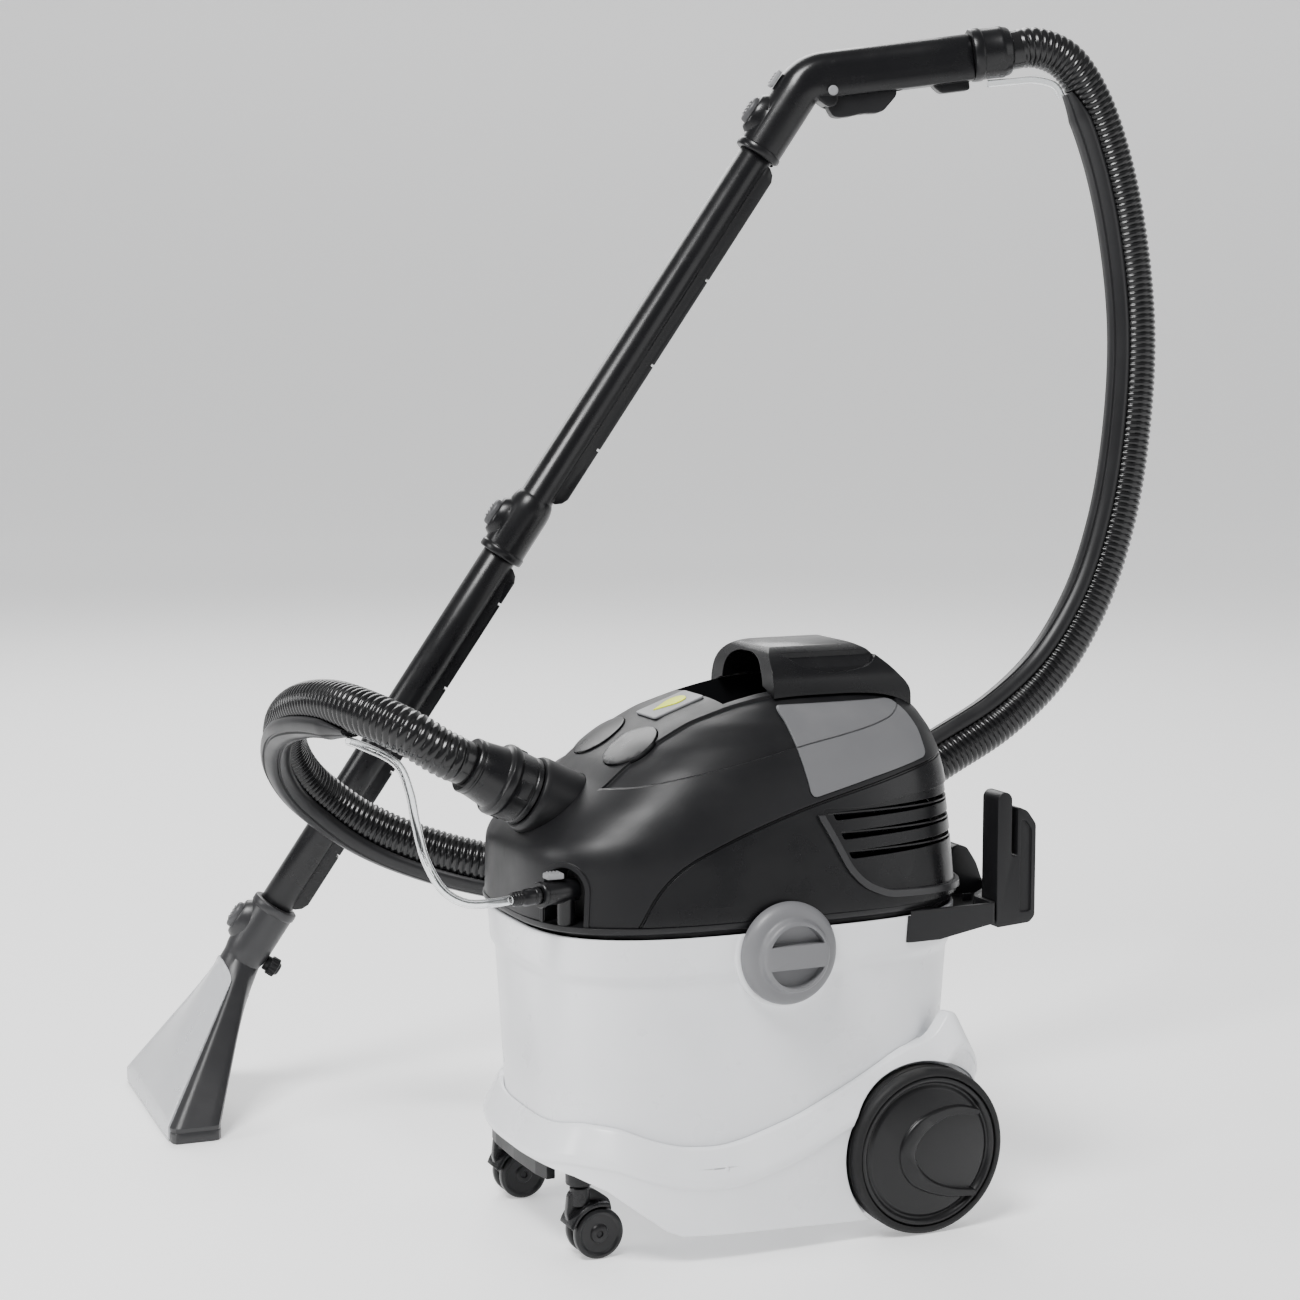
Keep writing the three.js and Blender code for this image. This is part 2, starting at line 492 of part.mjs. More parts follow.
// ---------------------------------------------------------------- wand: frame of its axis
const floorPoint = v3(-367.8, 463.6, 0);
const wandHeading = v3(0.954, -0.3, 0).normalize();
const wandPitch = deg(57);
const wandAxis = wandHeading.clone().multiplyScalar(Math.cos(wandPitch)).add(v3(0, 0, Math.sin(wandPitch)));
const wandSide = v3(-wandHeading.y, wandHeading.x, 0);
const wandUnder = wandSide.clone().cross(wandAxis);
const wandFrame = new THREE.Matrix4().makeBasis(wandUnder, wandSide, wandAxis).setPosition(floorPoint);
const wand = new THREE.Group();
wandFrame.decompose(wand.position, wand.quaternion, wand.scale);
machine.add(wand);
const gripGroup = new THREE.Group();
gripGroup.position.set(0, 0, GRIP.bend);
gripGroup.rotation.y = deg(GRIP.kick);
wand.add(gripGroup);

const up = (r, z0, z1, sides = 18) => solid(rod(r, v3(0, 0, z0), v3(0, 0, z1), sides));
const latchSeat = (z) => solid(rod(13.5, v3(-12, 0, z), v3(-24.5, 0, z), 16));
const latchWell = (z) => solid(rod(10.4, v3(-19.5, 0, z), v3(-40, 0, z), 16));

function latch(name, z) {
  const cap = turned([[0, 0], [10, 0], [10, 5], [8, 7], [0, 7.4]], 16);
  piece(name, aim(cap, v3(-22.5, 0, z), v3(-1, 0, 0)), grey, wand);
}

function tubeBody(z0, z1) {
  const rail = solid(box(14.6, 25, -5.5, 5.5, z0 + 66, z1 - 50));
  return cut(fuse(up(TUBE.r, z0, z1), rail), up(TUBE.r - TUBE.wall, z0 - 10, z1 + 10),
    solid(box(18.5, 22.5, -2, 2, z0, z1)));
}

piece('lower_tube', tubeBody(184, 648), black, wand);
const upperTube = cut(
  fuse(tubeBody(606, 1088), up(TUBE.sleeve, 604, 668), latchSeat(635)),
  up(TUBE.bore, 600, 650.5), up(TUBE.r - TUBE.wall, 640, 700), latchWell(635));
piece('upper_tube', upperTube, black, wand);
latch('middle_latch', 635);
latch('upper_latch', 1070);

// ---------------------------------------------------------------- grip with trigger
const toGrip = new THREE.Matrix4().makeRotationY(deg(GRIP.kick)).setPosition(0, 0, GRIP.bend);
const inGrip = (g) => solid(g.applyMatrix4(toGrip));
function gripBody() {
  const outer = new THREE.Shape();
  outer.absarc(-3, 0, 17, Math.PI / 2, 1.5 * Math.PI);
  outer.lineTo(19, -16);
  outer.lineTo(23, -12);
  outer.lineTo(23, 12);
  outer.lineTo(19, 16);
  outer.closePath();
  const bar = inGrip(slabZ(outer, 0, GRIP.length));
  const tail = inGrip(box(16, 31, -6, 6, 118, 166));
  const clearTail = inGrip(rod(24.5, v3(0, 0, GRIP.length + 0.1), v3(0, 0, 200)));
  const spigot = inGrip(ring(15, 11.5, GRIP.length - 1, 186));
  const bend = solid(new THREE.SphereGeometry(20.4, 18, 10).translate(0, 0, GRIP.bend));
  const sleeve = fuse(up(TUBE.sleeve, 1038, GRIP.bend), latchSeat(1070));
  const bores = [
    up(TUBE.bore, 1030, 1090.5), up(14, 1085, GRIP.bend),
    solid(new THREE.SphereGeometry(12, 12, 8).translate(0, 0, GRIP.bend)),
    inGrip(rod(11.5, v3(-3, 0, 0), v3(-3, 0, GRIP.length + 60))), latchWell(1070)];
  const slot = inGrip(box(10.2, 40, -9, 9, 12.4, 84));
  const pinBore = inGrip(rod(2.8, v3(17, -30, 19), v3(17, 30, 19), 16));
  const tailCut = cut(tail, clearTail);
  const railRoom = solid(box(16.1, 40, -6, 6, 1000, 1045));
  return cut(fuse(bar, bend, sleeve, tailCut), ...bores, slot, pinBore, railRoom).add(
    cut(spigot, inGrip(rod(11.5, v3(-3, 0, 0), v3(-3, 0, 400)))));
}
piece('hand_grip', gripBody(), black, wand);

const trigger = cut(
  fuse(
    solid(rod(6, v3(17, -8.4, 19), v3(17, 8.4, 19), 20)),
    solid(slabY(outline([[20, 14.5], [41, 22], [41, 64], [26, 80], [19.5, 80], [19.5, 30]]), -8.4, 8.4))),
  solid(rod(2.8, v3(17, -20, 19), v3(17, 20, 19), 16)));
piece('spray_trigger', trigger, satinBlack, gripGroup);
piece('trigger_pin', rod(2.5, v3(17, -17.5, 19), v3(17, 17.5, 19), 16), steel, gripGroup);
piece('air_slider', slabX(outline([[-6, 1096], [6, 1096], [7, 1098], [7, 1112], [6, 1114], [-6, 1114],
  [-7, 1112], [-7, 1098]]), -25, -21), grey, wand);
piece('hose_end_collar', ring(22, 15.4, GRIP.length + GAP, GRIP.collarEnd, 24), black, gripGroup);

// ---------------------------------------------------------------- floor nozzle
const noseYaw = deg(-3);
const noseHeading = v3(Math.cos(noseYaw), Math.sin(noseYaw), 0);
const noseSide = v3(-noseHeading.y, noseHeading.x, 0);
const nozzleFrame = new THREE.Matrix4().makeBasis(noseHeading, noseSide, AXIS_Z).setPosition(-353, 440.7, 0);
const onFloor = (g) => solid(g.applyMatrix4(nozzleFrame));
const onWand = (g) => solid(g.applyMatrix4(wandFrame));
const inMachine = (x, y, z) => v3(x, y, z).applyMatrix4(nozzleFrame);

function throatRing(r, z, sides = 16) {
  return Array.from({ length: sides }, (_, i) => {
    const t = (2 * Math.PI * i) / sides;
    return v3(r * Math.cos(t), r * Math.sin(t), z).applyMatrix4(wandFrame);
  });
}

function funnel(inset, low) {
  const foot = [-20 + inset, 27 - inset].flatMap((u) => [-114 + inset, 114 - inset].flatMap((w) =>
    [inMachine(u, w, low), inMachine(u, w, 14)]));
  return solid(new ConvexGeometry([...foot, ...throatRing(18.4 - inset, 162)]));
}

const FOOT = { front: -20, top: 14 };
const toNose = nozzleFrame.clone().invert();
const faceLean = Math.max(...throatRing(18.4, 162).map((p) => {
  const q = p.applyMatrix4(toNose);
  return Math.atan2(q.z - FOOT.top, q.x - FOOT.front);
}));

function nozzle() {
  const outer = funnel(0, 0);
  const face = (depth) => {
    const g = box(-60, depth, -140, 140, -40, 240);
    return onFloor(g.rotateY(Math.PI / 2 - faceLean).translate(FOOT.front, 0, FOOT.top));
  };
  const margin = onFloor(box(-80, 60, -104, 104, 18, 132));
  const glass = outer.intersect(face(2.4)).intersect(margin);
  const seat = face(2.7).intersect(onFloor(box(-80, 60, -104.4, 104.4, 17.6, 132.4)));
  const sleeve = fuse(onWand(rod(TUBE.sleeve, v3(0, 0, 158), v3(0, 0, 222), 18)),
    onWand(rod(13.5, v3(-12, 0, 194), v3(-24.5, 0, 194), 24)));
  const bores = [
    onWand(rod(TUBE.bore, v3(0, 0, 183.5), v3(0, 0, 240), 18)),
    onWand(rod(14, v3(0, 0, 150), v3(0, 0, 200), 18)),
    onWand(rod(10.4, v3(-19.5, 0, 194), v3(-40, 0, 194), 24))];
  const hollow = funnel(2.8, -1);
  return [cut(fuse(outer, sleeve), hollow, ...bores, seat), glass];
}
const [nozzleBody, nozzleGlass] = nozzle();
piece('nozzle_body', nozzleBody, satinBlack);
piece('nozzle_window', nozzleGlass, clear);
latch('nozzle_latch', 194);
piece('spray_tip', turned([[0, 0], [7, 0], [7, 8], [5, 14], [0, 14]], 20).rotateY(Math.PI / 2)
  .translate(21, 0, 170), black, wand);

// ---------------------------------------------------------------- hose, its line and their ends
piece('hose_cuff', aim(turned([
  [16, -18], [23.9, -18], [23.9, 3.4], [27, 4], [27, 26], [28.5, 27], [28.5, 31], [25, 33], [22, 50],
  [22, 58], [16, 58]], 20), portMouth, portAxis), black);

const gripFrame = new THREE.Matrix4().multiplyMatrices(wandFrame, toGrip);
const gripPoint = (x, y, z) => v3(x, y, z).applyMatrix4(gripFrame);
const hoseRoute = [
  alongPort(58.6), alongPort(80), v3(-267, 1, 404), v3(-290, 35, 416), v3(-303, 85, 419),
  v3(-309, 145, 409), v3(-306, 200, 388), v3(-293, 243, 358), v3(-270, 268, 328), v3(-241, 276, 303),
  v3(-208, 269, 281), v3(-172, 251, 265), v3(-123, 224, 251), v3(-60, 201, 241), v3(10, 186, 237),
  v3(85, 176, 243), v3(160, 170, 258), v3(230, 169, 284), v3(300, 170, 321), v3(368, 175, 354),
  v3(425, 181, 397), v3(472, 187, 461), v3(502, 192, 535), v3(519, 196, 619), v3(525, 200, 713),
  v3(515, 204, 806), v3(496, 206, 878), v3(472, 207, 930),
  v3(447, 210, 960), gripPoint(0, 0, 214), gripPoint(0, 0, GRIP.collarEnd + 0.6)];
const hoseCurve = new THREE.CatmullRomCurve3(hoseRoute, false, 'centripetal');
piece('hose', sweep(hoseCurve, HOSE.r, HOSE.steps, HOSE.sides), black);

// The carrier strip runs along the hose: [share of the hose's length, side of the hose it lies on].
const stripSides = [
  [0.06, v3(-0.2, -0.1, -1)], [0.13, v3(-0.5, 0.1, -0.9)], [0.22, v3(-0.3, -0.3, -0.9)],
  [0.34, v3(0, -0.1, -1)], [0.44, v3(0, 1, -0.2)], [0.54, v3(-0.4, 0.3, 0.9)],
  [0.68, v3(-1, 0, 0.3)], [0.86, v3(-1, 0, -0.3)], [0.955, v3(-0.2, 0, -1)]];
const STRIP_STATIONS = 34;

function stripPoint(share) {
  const next = Math.max(1, stripSides.findIndex(([u]) => u >= share - 1e-9));
  const [u0, side0] = stripSides[next - 1];
  const [u1, side1] = stripSides[next];
  const side = side0.clone().lerp(side1, (share - u0) / (u1 - u0));
  const along = hoseCurve.getTangentAt(share);
  side.addScaledVector(along, -side.dot(along)).normalize();
  return hoseCurve.getPointAt(share).addScaledVector(side, STRIP.offset);
}
const [stripFront, stripRear] = [stripSides[0][0], stripSides[stripSides.length - 1][0]];
const stripRoute = Array.from({ length: STRIP_STATIONS + 1 }, (_, i) =>
  stripPoint(stripFront + (stripRear - stripFront) * i / STRIP_STATIONS));
const stripCurve = new THREE.CatmullRomCurve3(stripRoute, false, 'centripetal');
piece('hose_strip', sweep(stripCurve, STRIP.r, STRIP_STATIONS, STRIP.sides), black);

const stripStart = (d) => stripCurve.getPointAt(0).addScaledVector(stripCurve.getTangentAt(0), -d);
const stripEnd = (d) => stripCurve.getPointAt(1).addScaledVector(stripCurve.getTangentAt(1), d);
const frontLineRoute = [
  plugAt(53), plugAt(68), v3(-258, -100, 290), v3(-273, -96, 299), v3(-281, -79, 318), v3(-280, -53, 342),
  v3(-277, -29, 364), v3(-279, -8, 381), stripStart(16), stripStart(0.6)];
const rearLineRoute = [
  stripEnd(0.6), stripEnd(12), gripPoint(29, 0, 210), gripPoint(28, 0, 192), gripPoint(27, 0, 166.7)];
for (const [name, route, steps] of [
  ['spray_line_front', frontLineRoute, 22], ['spray_line_rear', rearLineRoute, 10]]) {
  const curve = new THREE.CatmullRomCurve3(route, false, 'centripetal');
  piece(name, sweep(curve, LINE.r, steps, LINE.sides), clear);
}

machine.position.set(-ORIGIN.x, -ORIGIN.y, 0);

export default machine;
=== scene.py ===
"""A spray-extraction carpet cleaner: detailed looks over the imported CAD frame.
Numbers are millimetres in the tank's own frame (origin on the floor under the tank's middle, -X the
front, -Y the near side), unless a line says otherwise."""
import math

import bmesh
import bpy
import numpy as np
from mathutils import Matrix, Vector


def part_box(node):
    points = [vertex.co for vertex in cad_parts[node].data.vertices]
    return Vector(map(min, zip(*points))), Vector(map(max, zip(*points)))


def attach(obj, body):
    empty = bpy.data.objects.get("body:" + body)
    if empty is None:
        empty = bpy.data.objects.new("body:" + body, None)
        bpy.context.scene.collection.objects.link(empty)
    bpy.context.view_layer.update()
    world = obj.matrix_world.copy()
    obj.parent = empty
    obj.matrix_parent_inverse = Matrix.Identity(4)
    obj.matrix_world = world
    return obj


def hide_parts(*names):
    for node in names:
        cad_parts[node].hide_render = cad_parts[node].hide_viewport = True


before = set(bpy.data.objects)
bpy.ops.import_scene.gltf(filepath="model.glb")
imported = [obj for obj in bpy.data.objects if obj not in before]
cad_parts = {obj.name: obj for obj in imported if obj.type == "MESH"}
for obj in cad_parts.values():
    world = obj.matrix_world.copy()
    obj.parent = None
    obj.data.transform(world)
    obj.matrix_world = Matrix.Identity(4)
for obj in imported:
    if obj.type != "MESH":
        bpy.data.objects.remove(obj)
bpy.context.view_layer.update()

MM = 0.001
axle_low, axle_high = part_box("rear_axle")
WHEEL_X, WHEEL_Z = 112, 67
TANK = np.array([(axle_low.x + axle_high.x) / 2 - WHEEL_X * MM, (axle_low.y + axle_high.y) / 2, 0])
Z = (0, 0, 1)


def row(point):
    """A point of the tank's frame, in metres in the row frame."""
    return Vector(np.array(point, float) * MM + TANK)


def unit(v):
    v = np.array(v, float)
    return v / np.linalg.norm(v)


def axes(x, y, z, origin):
    m = np.eye(4)
    m[:3, 0], m[:3, 1], m[:3, 2], m[:3, 3] = x, y, z, origin
    return m


def at(m, x, y, z):
    """A point of the frame m."""
    return (m @ (x, y, z, 1))[:3]


def place(origin, z, x=None):
    """A frame whose +Z lies along z."""
    z = unit(z)
    hint = unit(x) if x is not None else unit(np.cross((0, 1, 0) if abs(z[1]) < 0.9 else (1, 0, 0), z))
    x = unit(hint - z * (hint @ z))
    return axes(x, np.cross(z, x), z, origin)


# --- camera
def camera():
    data = bpy.data.cameras.new("camera")
    data.sensor_width, data.lens = 36, 73.05
    cam = bpy.data.objects.new("camera", data)
    cam.location = row((-911.2, -1900.4, 699.1))
    cam.rotation_euler = (math.radians(83.4), 0, math.radians(-24))
    bpy.context.scene.collection.objects.link(cam)
    bpy.context.scene.camera = cam


camera()
SIDES = (("near", -1), ("far", 1))

# --- materials
class Nodes:
    def __init__(self, name):
        self.mat = bpy.data.materials.new(name)
        self.mat.use_nodes = True
        self.tree = self.mat.node_tree
        self.shader = self.tree.nodes["Principled BSDF"]
        self.coords = self.add("TexCoord").outputs["Object"]

    def set(self, **values):
        for key, value in values.items():
            self.shader.inputs[key.replace("_", " ")].default_value = value

    def add(self, kind, values=None, **props):
        node = self.tree.nodes.new("ShaderNode" + kind)
        for key, value in props.items():
            setattr(node, key, value)
        for key, value in (values or {}).items():
            node.inputs[key].default_value = value
        return node

    def link(self, a, b):
        self.tree.links.new(a, b)

    def noise(self, scale, detail=3, coords=None, rough=0.55):
        n = self.add("TexNoise", {"Scale": scale, "Detail": detail, "Roughness": rough})
        self.link(coords or self.coords, n.inputs["Vector"])
        return n.outputs["Fac"]

    def span(self, value, lo, hi, to_lo, to_hi):
        m = self.add("MapRange", {"From Min": lo, "From Max": hi, "To Min": to_lo, "To Max": to_hi})
        self.link(value, m.inputs["Value"])
        return m.outputs["Result"]

    def feed(self, sockets, values):
        for socket, value in zip(sockets, values):
            if isinstance(value, bpy.types.NodeSocket):
                self.link(value, socket)
            else:
                socket.default_value = value

    def mix(self, fac, a, b):
        m = self.add("Mix", data_type="RGBA")
        self.feed((m.inputs[0], m.inputs[6], m.inputs[7]), (fac, a, b))
        return m.outputs[2]

    def math(self, kind, a, b):
        m = self.add("Math", operation=kind)
        self.feed(m.inputs, (a, b))
        return m.outputs[0]

    def bump(self, strength, height, normal=None):
        b = self.add("Bump", {"Strength": strength, "Distance": 0.0006})
        self.link(height, b.inputs["Height"])
        if normal:
            self.link(normal, b.inputs["Normal"])
        self.link(b.outputs["Normal"], self.shader.inputs["Normal"])


def plastic(name, color, rough, grain=900, depth=0.05, edge=0.7, dust=0.05, wear=0.25, coat=0.0, spec=0.5,
            metal=0.0):
    """A moulded surface: fine grain, edges that wear a little lighter, uneven gloss, light dust on top."""
    n = Nodes(name)
    rgba = (*color, 1)
    lighter = tuple(min(1, c * 1.35 + 0.02) for c in color) + (1,)
    darker = tuple(c * 0.86 for c in color) + (1,)
    cloud = n.noise(9, 4)
    base = n.mix(n.span(cloud, 0.35, 0.7, 0, 0.6), rgba, darker)
    bevel = n.add("Bevel", {"Radius": edge * MM}, samples=6)
    geo = n.add("NewGeometry")
    dot = n.add("VectorMath", operation="DOT_PRODUCT")
    n.link(bevel.outputs["Normal"], dot.inputs[0])
    n.link(geo.outputs["Normal"], dot.inputs[1])
    rim = n.span(dot.outputs["Value"], 0.99, 0.8, 0, 1)
    worn = n.math("MULTIPLY", rim, n.span(n.noise(60, 3), 0.4, 0.7, 0.15 * wear, wear))
    base = n.mix(worn, base, lighter)
    up = n.add("SeparateXYZ")
    n.link(geo.outputs["Normal"], up.inputs[0])
    film = n.math("MULTIPLY", n.span(up.outputs["Z"], 0.3, 1, 0, 1),
                  n.span(n.noise(35, 5), 0.42, 0.75, 0, dust))
    base = n.mix(film, base, (0.5, 0.48, 0.45, 1))
    n.link(base, n.shader.inputs["Base Color"])
    scuffs = n.add("Mapping", {"Scale": (18, 140, 60), "Rotation": (0.3, 0.2, 0.6)})
    n.link(n.coords, scuffs.inputs["Vector"])
    streak = n.span(n.noise(1.6, 4, scuffs.outputs["Vector"]), 0.6, 0.75, 0, 0.06)
    gloss = n.span(n.noise(26, 4), 0.3, 0.7, rough - 0.05, rough + 0.06)
    n.link(n.math("ADD", n.math("ADD", gloss, streak), n.math("MULTIPLY", film, 1.5)),
           n.shader.inputs["Roughness"])
    n.bump(depth, n.noise(grain, 2, rough=0.7), bevel.outputs["Normal"])
    n.set(Metallic=metal, Specular_IOR_Level=spec, Coat_Weight=coat, Coat_Roughness=0.15)
    return n


def clear_plastic(name, tint, rough=0.04, through=1.0):
    """Thin clear plastic, faintly tinted, with a light haze of wear."""
    n = Nodes(name)
    n.link(n.mix(n.span(n.noise(14, 4), 0.4, 0.7, 0, 0.5), (*tint, 1), tuple(c * 0.93 for c in tint) + (1,)),
           n.shader.inputs["Base Color"])
    n.link(n.span(n.noise(30, 5), 0.35, 0.75, rough, rough + 0.07), n.shader.inputs["Roughness"])
    n.bump(0.06, n.noise(70, 3))
    n.set(Transmission_Weight=through, IOR=1.46)
    return n


def brushed(name, color, rough, axis_scale=(40, 900, 900)):
    """Metal with fine turning or drawing lines."""
    n = plastic(name, color, rough, grain=500, depth=0.02, dust=0.02, wear=0.1, metal=1.0)
    lines = n.add("Mapping", {"Scale": axis_scale})
    n.link(n.coords, lines.inputs["Vector"])
    n.link(n.span(n.noise(1, 3, lines.outputs["Vector"]), 0.3, 0.7, rough - 0.08, rough + 0.12),
           n.shader.inputs["Roughness"])
    return n


# kind: slot, material, colour, roughness, grain, grain depth, edge in mm, dust, wear, coat, specular
PLASTICS = {
    "button": ("grey_plastic", "grey_button", (0.24, 0.242, 0.25), 0.45, 700, 0.3, 0.6, 0.03, 0.3),
    "latch": ("grey_plastic", "dark_grey_button", (0.055, 0.055, 0.058), 0.42, 700, 0.3, 0.8, 0.03, 0.3),
    # charcoal is the nozzle's own dark grey; on the vent frame it also stands in as painted highlight
    "charcoal": ("satin_black", "charcoal_shell", (0.02, 0.02, 0.0215), 0.36, 1000, 0.08, 0.7, 0.02, 0.3),
    "white": ("white_plastic", "white_shell", (0.86, 0.87, 0.89), 0.3, 700, 0.03, 0.9, 0.05, 0, 0.15),
    "black": ("black_plastic", "black_textured", (0.0075, 0.0075, 0.0085), 0.4, 1100, 0.12, 0.8,
              0.012, 0.2, 0, 0.3),
    "satin": ("satin_black", "black_satin", (0.005, 0.005, 0.0058), 0.27, 900, 0.04, 0.6, 0.012,
              0.18, 0, 0.34),
    "wheel": ("wheel_plastic", "black_wheel", (0.0065, 0.0065, 0.0072), 0.33, 800, 0.06, 1, 0.02,
              0.25, 0, 0.34),
    "grey": ("grey_plastic", "grey_textured", (0.13, 0.131, 0.137), 0.42, 1000, 0.14, 0.8, 0.06, 0.3),
    "knob": ("grey_plastic", "grey_knob", (0.16, 0.161, 0.168), 0.4, 1000, 0.12, 0.8, 0.05, 0.3),
    "rubber": ("rubber", "rubber", (0.011, 0.011, 0.0115), 0.58, 500, 0.22, 0.5, 0.05, 0.25, 0, 0.25),
    "hose": ("black_plastic", "hose_black", (0.007, 0.007, 0.0075), 0.2, 600, 0.03, 0.3, 0.02, 0.2,
             0.12, 0.36),
    "strip": ("black_plastic", "strip_black", (0.014, 0.014, 0.015), 0.33, 500, 0.06, 0.4, 0.02, 0.3, 0, 0.3),
    "natural": ("natural_plastic", "natural_polymer", (0.62, 0.64, 0.58), 0.38, 500, 0.05, 0.8, 0.05, 0),
    "lens": ("float_yellow", "yellow_green", (0.72, 0.8, 0.012), 0.34, 500, 0.02, 0.4, 0.05, 0.25, 0, 0.2),
}
LOOKS = {kind: (slot, plastic(*values).mat) for kind, (slot, *values) in PLASTICS.items()}
LOOKS["steel"] = "steel", brushed("turned_steel", (0.58, 0.58, 0.6), 0.26).mat
LOOKS["can"] = "motor_can", brushed("motor_can", (0.5, 0.51, 0.53), 0.36, (900, 900, 60)).mat
LOOKS["tube"] = "clear_plastic", clear_plastic("clear_tube", (0.96, 0.975, 0.98), 0.05).mat
LOOKS["frost"] = "clear_plastic", clear_plastic("frosted_window", (0.68, 0.69, 0.71), 0.22, 0.3).mat


# --- solids
def obj_of(verts, faces, m=None):
    """A mesh object from points in millimetres, in the tank's frame or in the frame m."""
    v = np.array(verts, float)
    if m is not None:
        v = v @ m[:3, :3].T + m[:3, 3]
    mesh = bpy.data.meshes.new("solid")
    mesh.from_pydata((v * MM + TANK).tolist(), [], faces)
    bm = bmesh.new()
    bm.from_mesh(mesh)
    bmesh.ops.remove_doubles(bm, verts=bm.verts, dist=1e-6)
    bmesh.ops.dissolve_degenerate(bm, edges=bm.edges, dist=1e-7)
    bmesh.ops.recalc_face_normals(bm, faces=bm.faces)
    bm.to_mesh(mesh)
    bm.free()
    o = bpy.data.objects.new("solid", mesh)
    bpy.context.scene.collection.objects.link(o)
    return o


def loft(rings, m=None, close=False, caps=True):
    """Skin over rings with as many points each; close joins the last to the first, else caps may end them."""
    k, n = len(rings), len(rings[0])
    faces = []
    for i in range(k if close else k - 1):
        a, b = i * n, ((i + 1) % k) * n
        faces += [(a + j, a + (j + 1) % n, b + (j + 1) % n, b + j) for j in range(n)]
    if caps and not close:
        faces += [tuple(reversed(range(n))), tuple(range((k - 1) * n, k * n))]
    return obj_of([p for r in rings for p in r], faces, m)


def lathe(profile, m=None, segs=72):
    """[radius, height] turned about the frame's +Z; a profile off the axis closes on itself."""
    rings = [[(r * math.cos(t), r * math.sin(t), z) for t in turns(segs)] for r, z in profile]
    on_axis = profile[0][0] == 0 and profile[-1][0] == 0
    return loft(rings, m, close=not on_axis, caps=not on_axis)


def prism(points, a, b, axis="z", m=None):
    """An outline carried from a to b along an axis: (x, y) for z, (x, z) for y, (y, z) for x."""
    put = {"z": lambda p, d: (p[0], p[1], d), "y": lambda p, d: (p[0], d, p[1]),
           "x": lambda p, d: (d, p[0], p[1])}[axis]
    return loft([[put(p, a) for p in points], [put(p, b) for p in points]], m)


def through(outline, half=170.0):
    """A side-view outline (x, z) carried right across the machine."""
    return prism(outline, -half, half, "y")


def block(x0, x1, y0, y1, z0, z1, m=None):
    return prism([(x0, y0), (x1, y0), (x1, y1), (x0, y1)], z0, z1, "z", m)


def rod(r, a, b, segs=48):
    a, b = np.array(a, float), np.array(b, float)
    length = np.linalg.norm(b - a)
    return lathe([(0, 0), (r, 0), (r, length), (0, length)], place(a, b - a), segs)


def evaluated(o):
    """The mesh that the object's modifiers give; the modifiers are taken off."""
    bpy.context.view_layer.update()
    mesh = bpy.data.meshes.new_from_object(o.evaluated_get(bpy.context.evaluated_depsgraph_get()))
    o.modifiers.clear()
    return mesh


def drop(o):
    bpy.data.objects.remove(o)


def boolean(o, operation, others, keep):
    """Cut, join or overlap with each other solid; the exact solver takes over where the quick one fails."""
    for other in others:
        for solver in ("MANIFOLD", "EXACT"):
            mod = o.modifiers.new("b", "BOOLEAN")
            mod.operation, mod.object, mod.solver = operation, other, solver
            mesh = evaluated(o)
            unchanged = len(mesh.vertices) == len(o.data.vertices)
            if len(mesh.vertices) and not (solver == "MANIFOLD" and unchanged):
                break
        o.data = mesh
        if not keep:
            drop(other)
    return o


def cut(o, *others):
    return boolean(o, "DIFFERENCE", others, False)


def both(o, *others, keep=False):
    return boolean(o, "INTERSECT", others, keep)


def fuse(o, *others):
    return boolean(o, "UNION", others, False)


def copy(o):
    c = o.copy()
    c.data = o.data.copy()
    bpy.context.scene.collection.objects.link(c)
    return c


def pack(o, *others):
    """One mesh of several separate shells."""
    bm = bmesh.new()
    bm.from_mesh(o.data)
    for other in others:
        bm.from_mesh(other.data)
        drop(other)
    bm.to_mesh(o.data)
    bm.free()
    return o


def soften(o, width, segments=3, angle=35):
    mod = o.modifiers.new("soft", "BEVEL")
    mod.width, mod.segments, mod.limit_method = width * MM, segments, "ANGLE"
    mod.angle_limit = math.radians(angle)
    o.data = evaluated(o)
    return o


def dress(o, kind):
    slot, material = LOOKS[kind]
    o.data.materials.clear()
    o.data.materials.append(material)


def piece(name, o, kind, body, *nodes, smooth=32):
    """A finished piece: named, shaded, riding on its body, in place of its CAD nodes."""
    o.name = o.data.name = name
    dress(o, kind)
    o.data.polygons.foreach_set("use_smooth", [True] * len(o.data.polygons))
    o.data.set_sharp_from_angle(angle=math.radians(smooth))
    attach(o, body)
    if nodes:
        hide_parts(*nodes)
    return o


def quadrant(a, b, power, count):
    t = np.linspace(0, math.pi / 2, 400)
    x, y = a * np.cos(t) ** (2 / power), b * np.sin(t) ** (2 / power)
    s = np.concatenate([[0], np.cumsum(np.hypot(np.diff(x), np.diff(y)))])
    u = np.linspace(0, s[-1], count, endpoint=False)
    return np.interp(u, s, x), np.interp(u, s, y)


def plan(x0, x1, half, front=3.3, rear=3.3, count=40):
    """A superellipse ring from the rear round the far side, the front and the near side."""
    cx, a = (x0 + x1) / 2, (x1 - x0) / 2
    xr, yr = quadrant(a, half, rear, count)
    xb, yb = quadrant(half, a, rear, count)
    xf, yf = quadrant(a, half, front, count)
    xg, yg = quadrant(half, a, front, count)
    ring = np.concatenate([np.stack(q, 1) for q in ((xr, yr), (-yg, xg), (-xf, -yf), (yb, -xb))])
    ring[:, 0] += cx
    return ring


def stack(rows, **kw):
    """A solid of superellipse sections: rows of [z, front x, rear x, half width]."""
    return loft([[(x, y, z) for x, y in plan(x0, x1, half, **kw)] for z, x0, x1, half in rows])


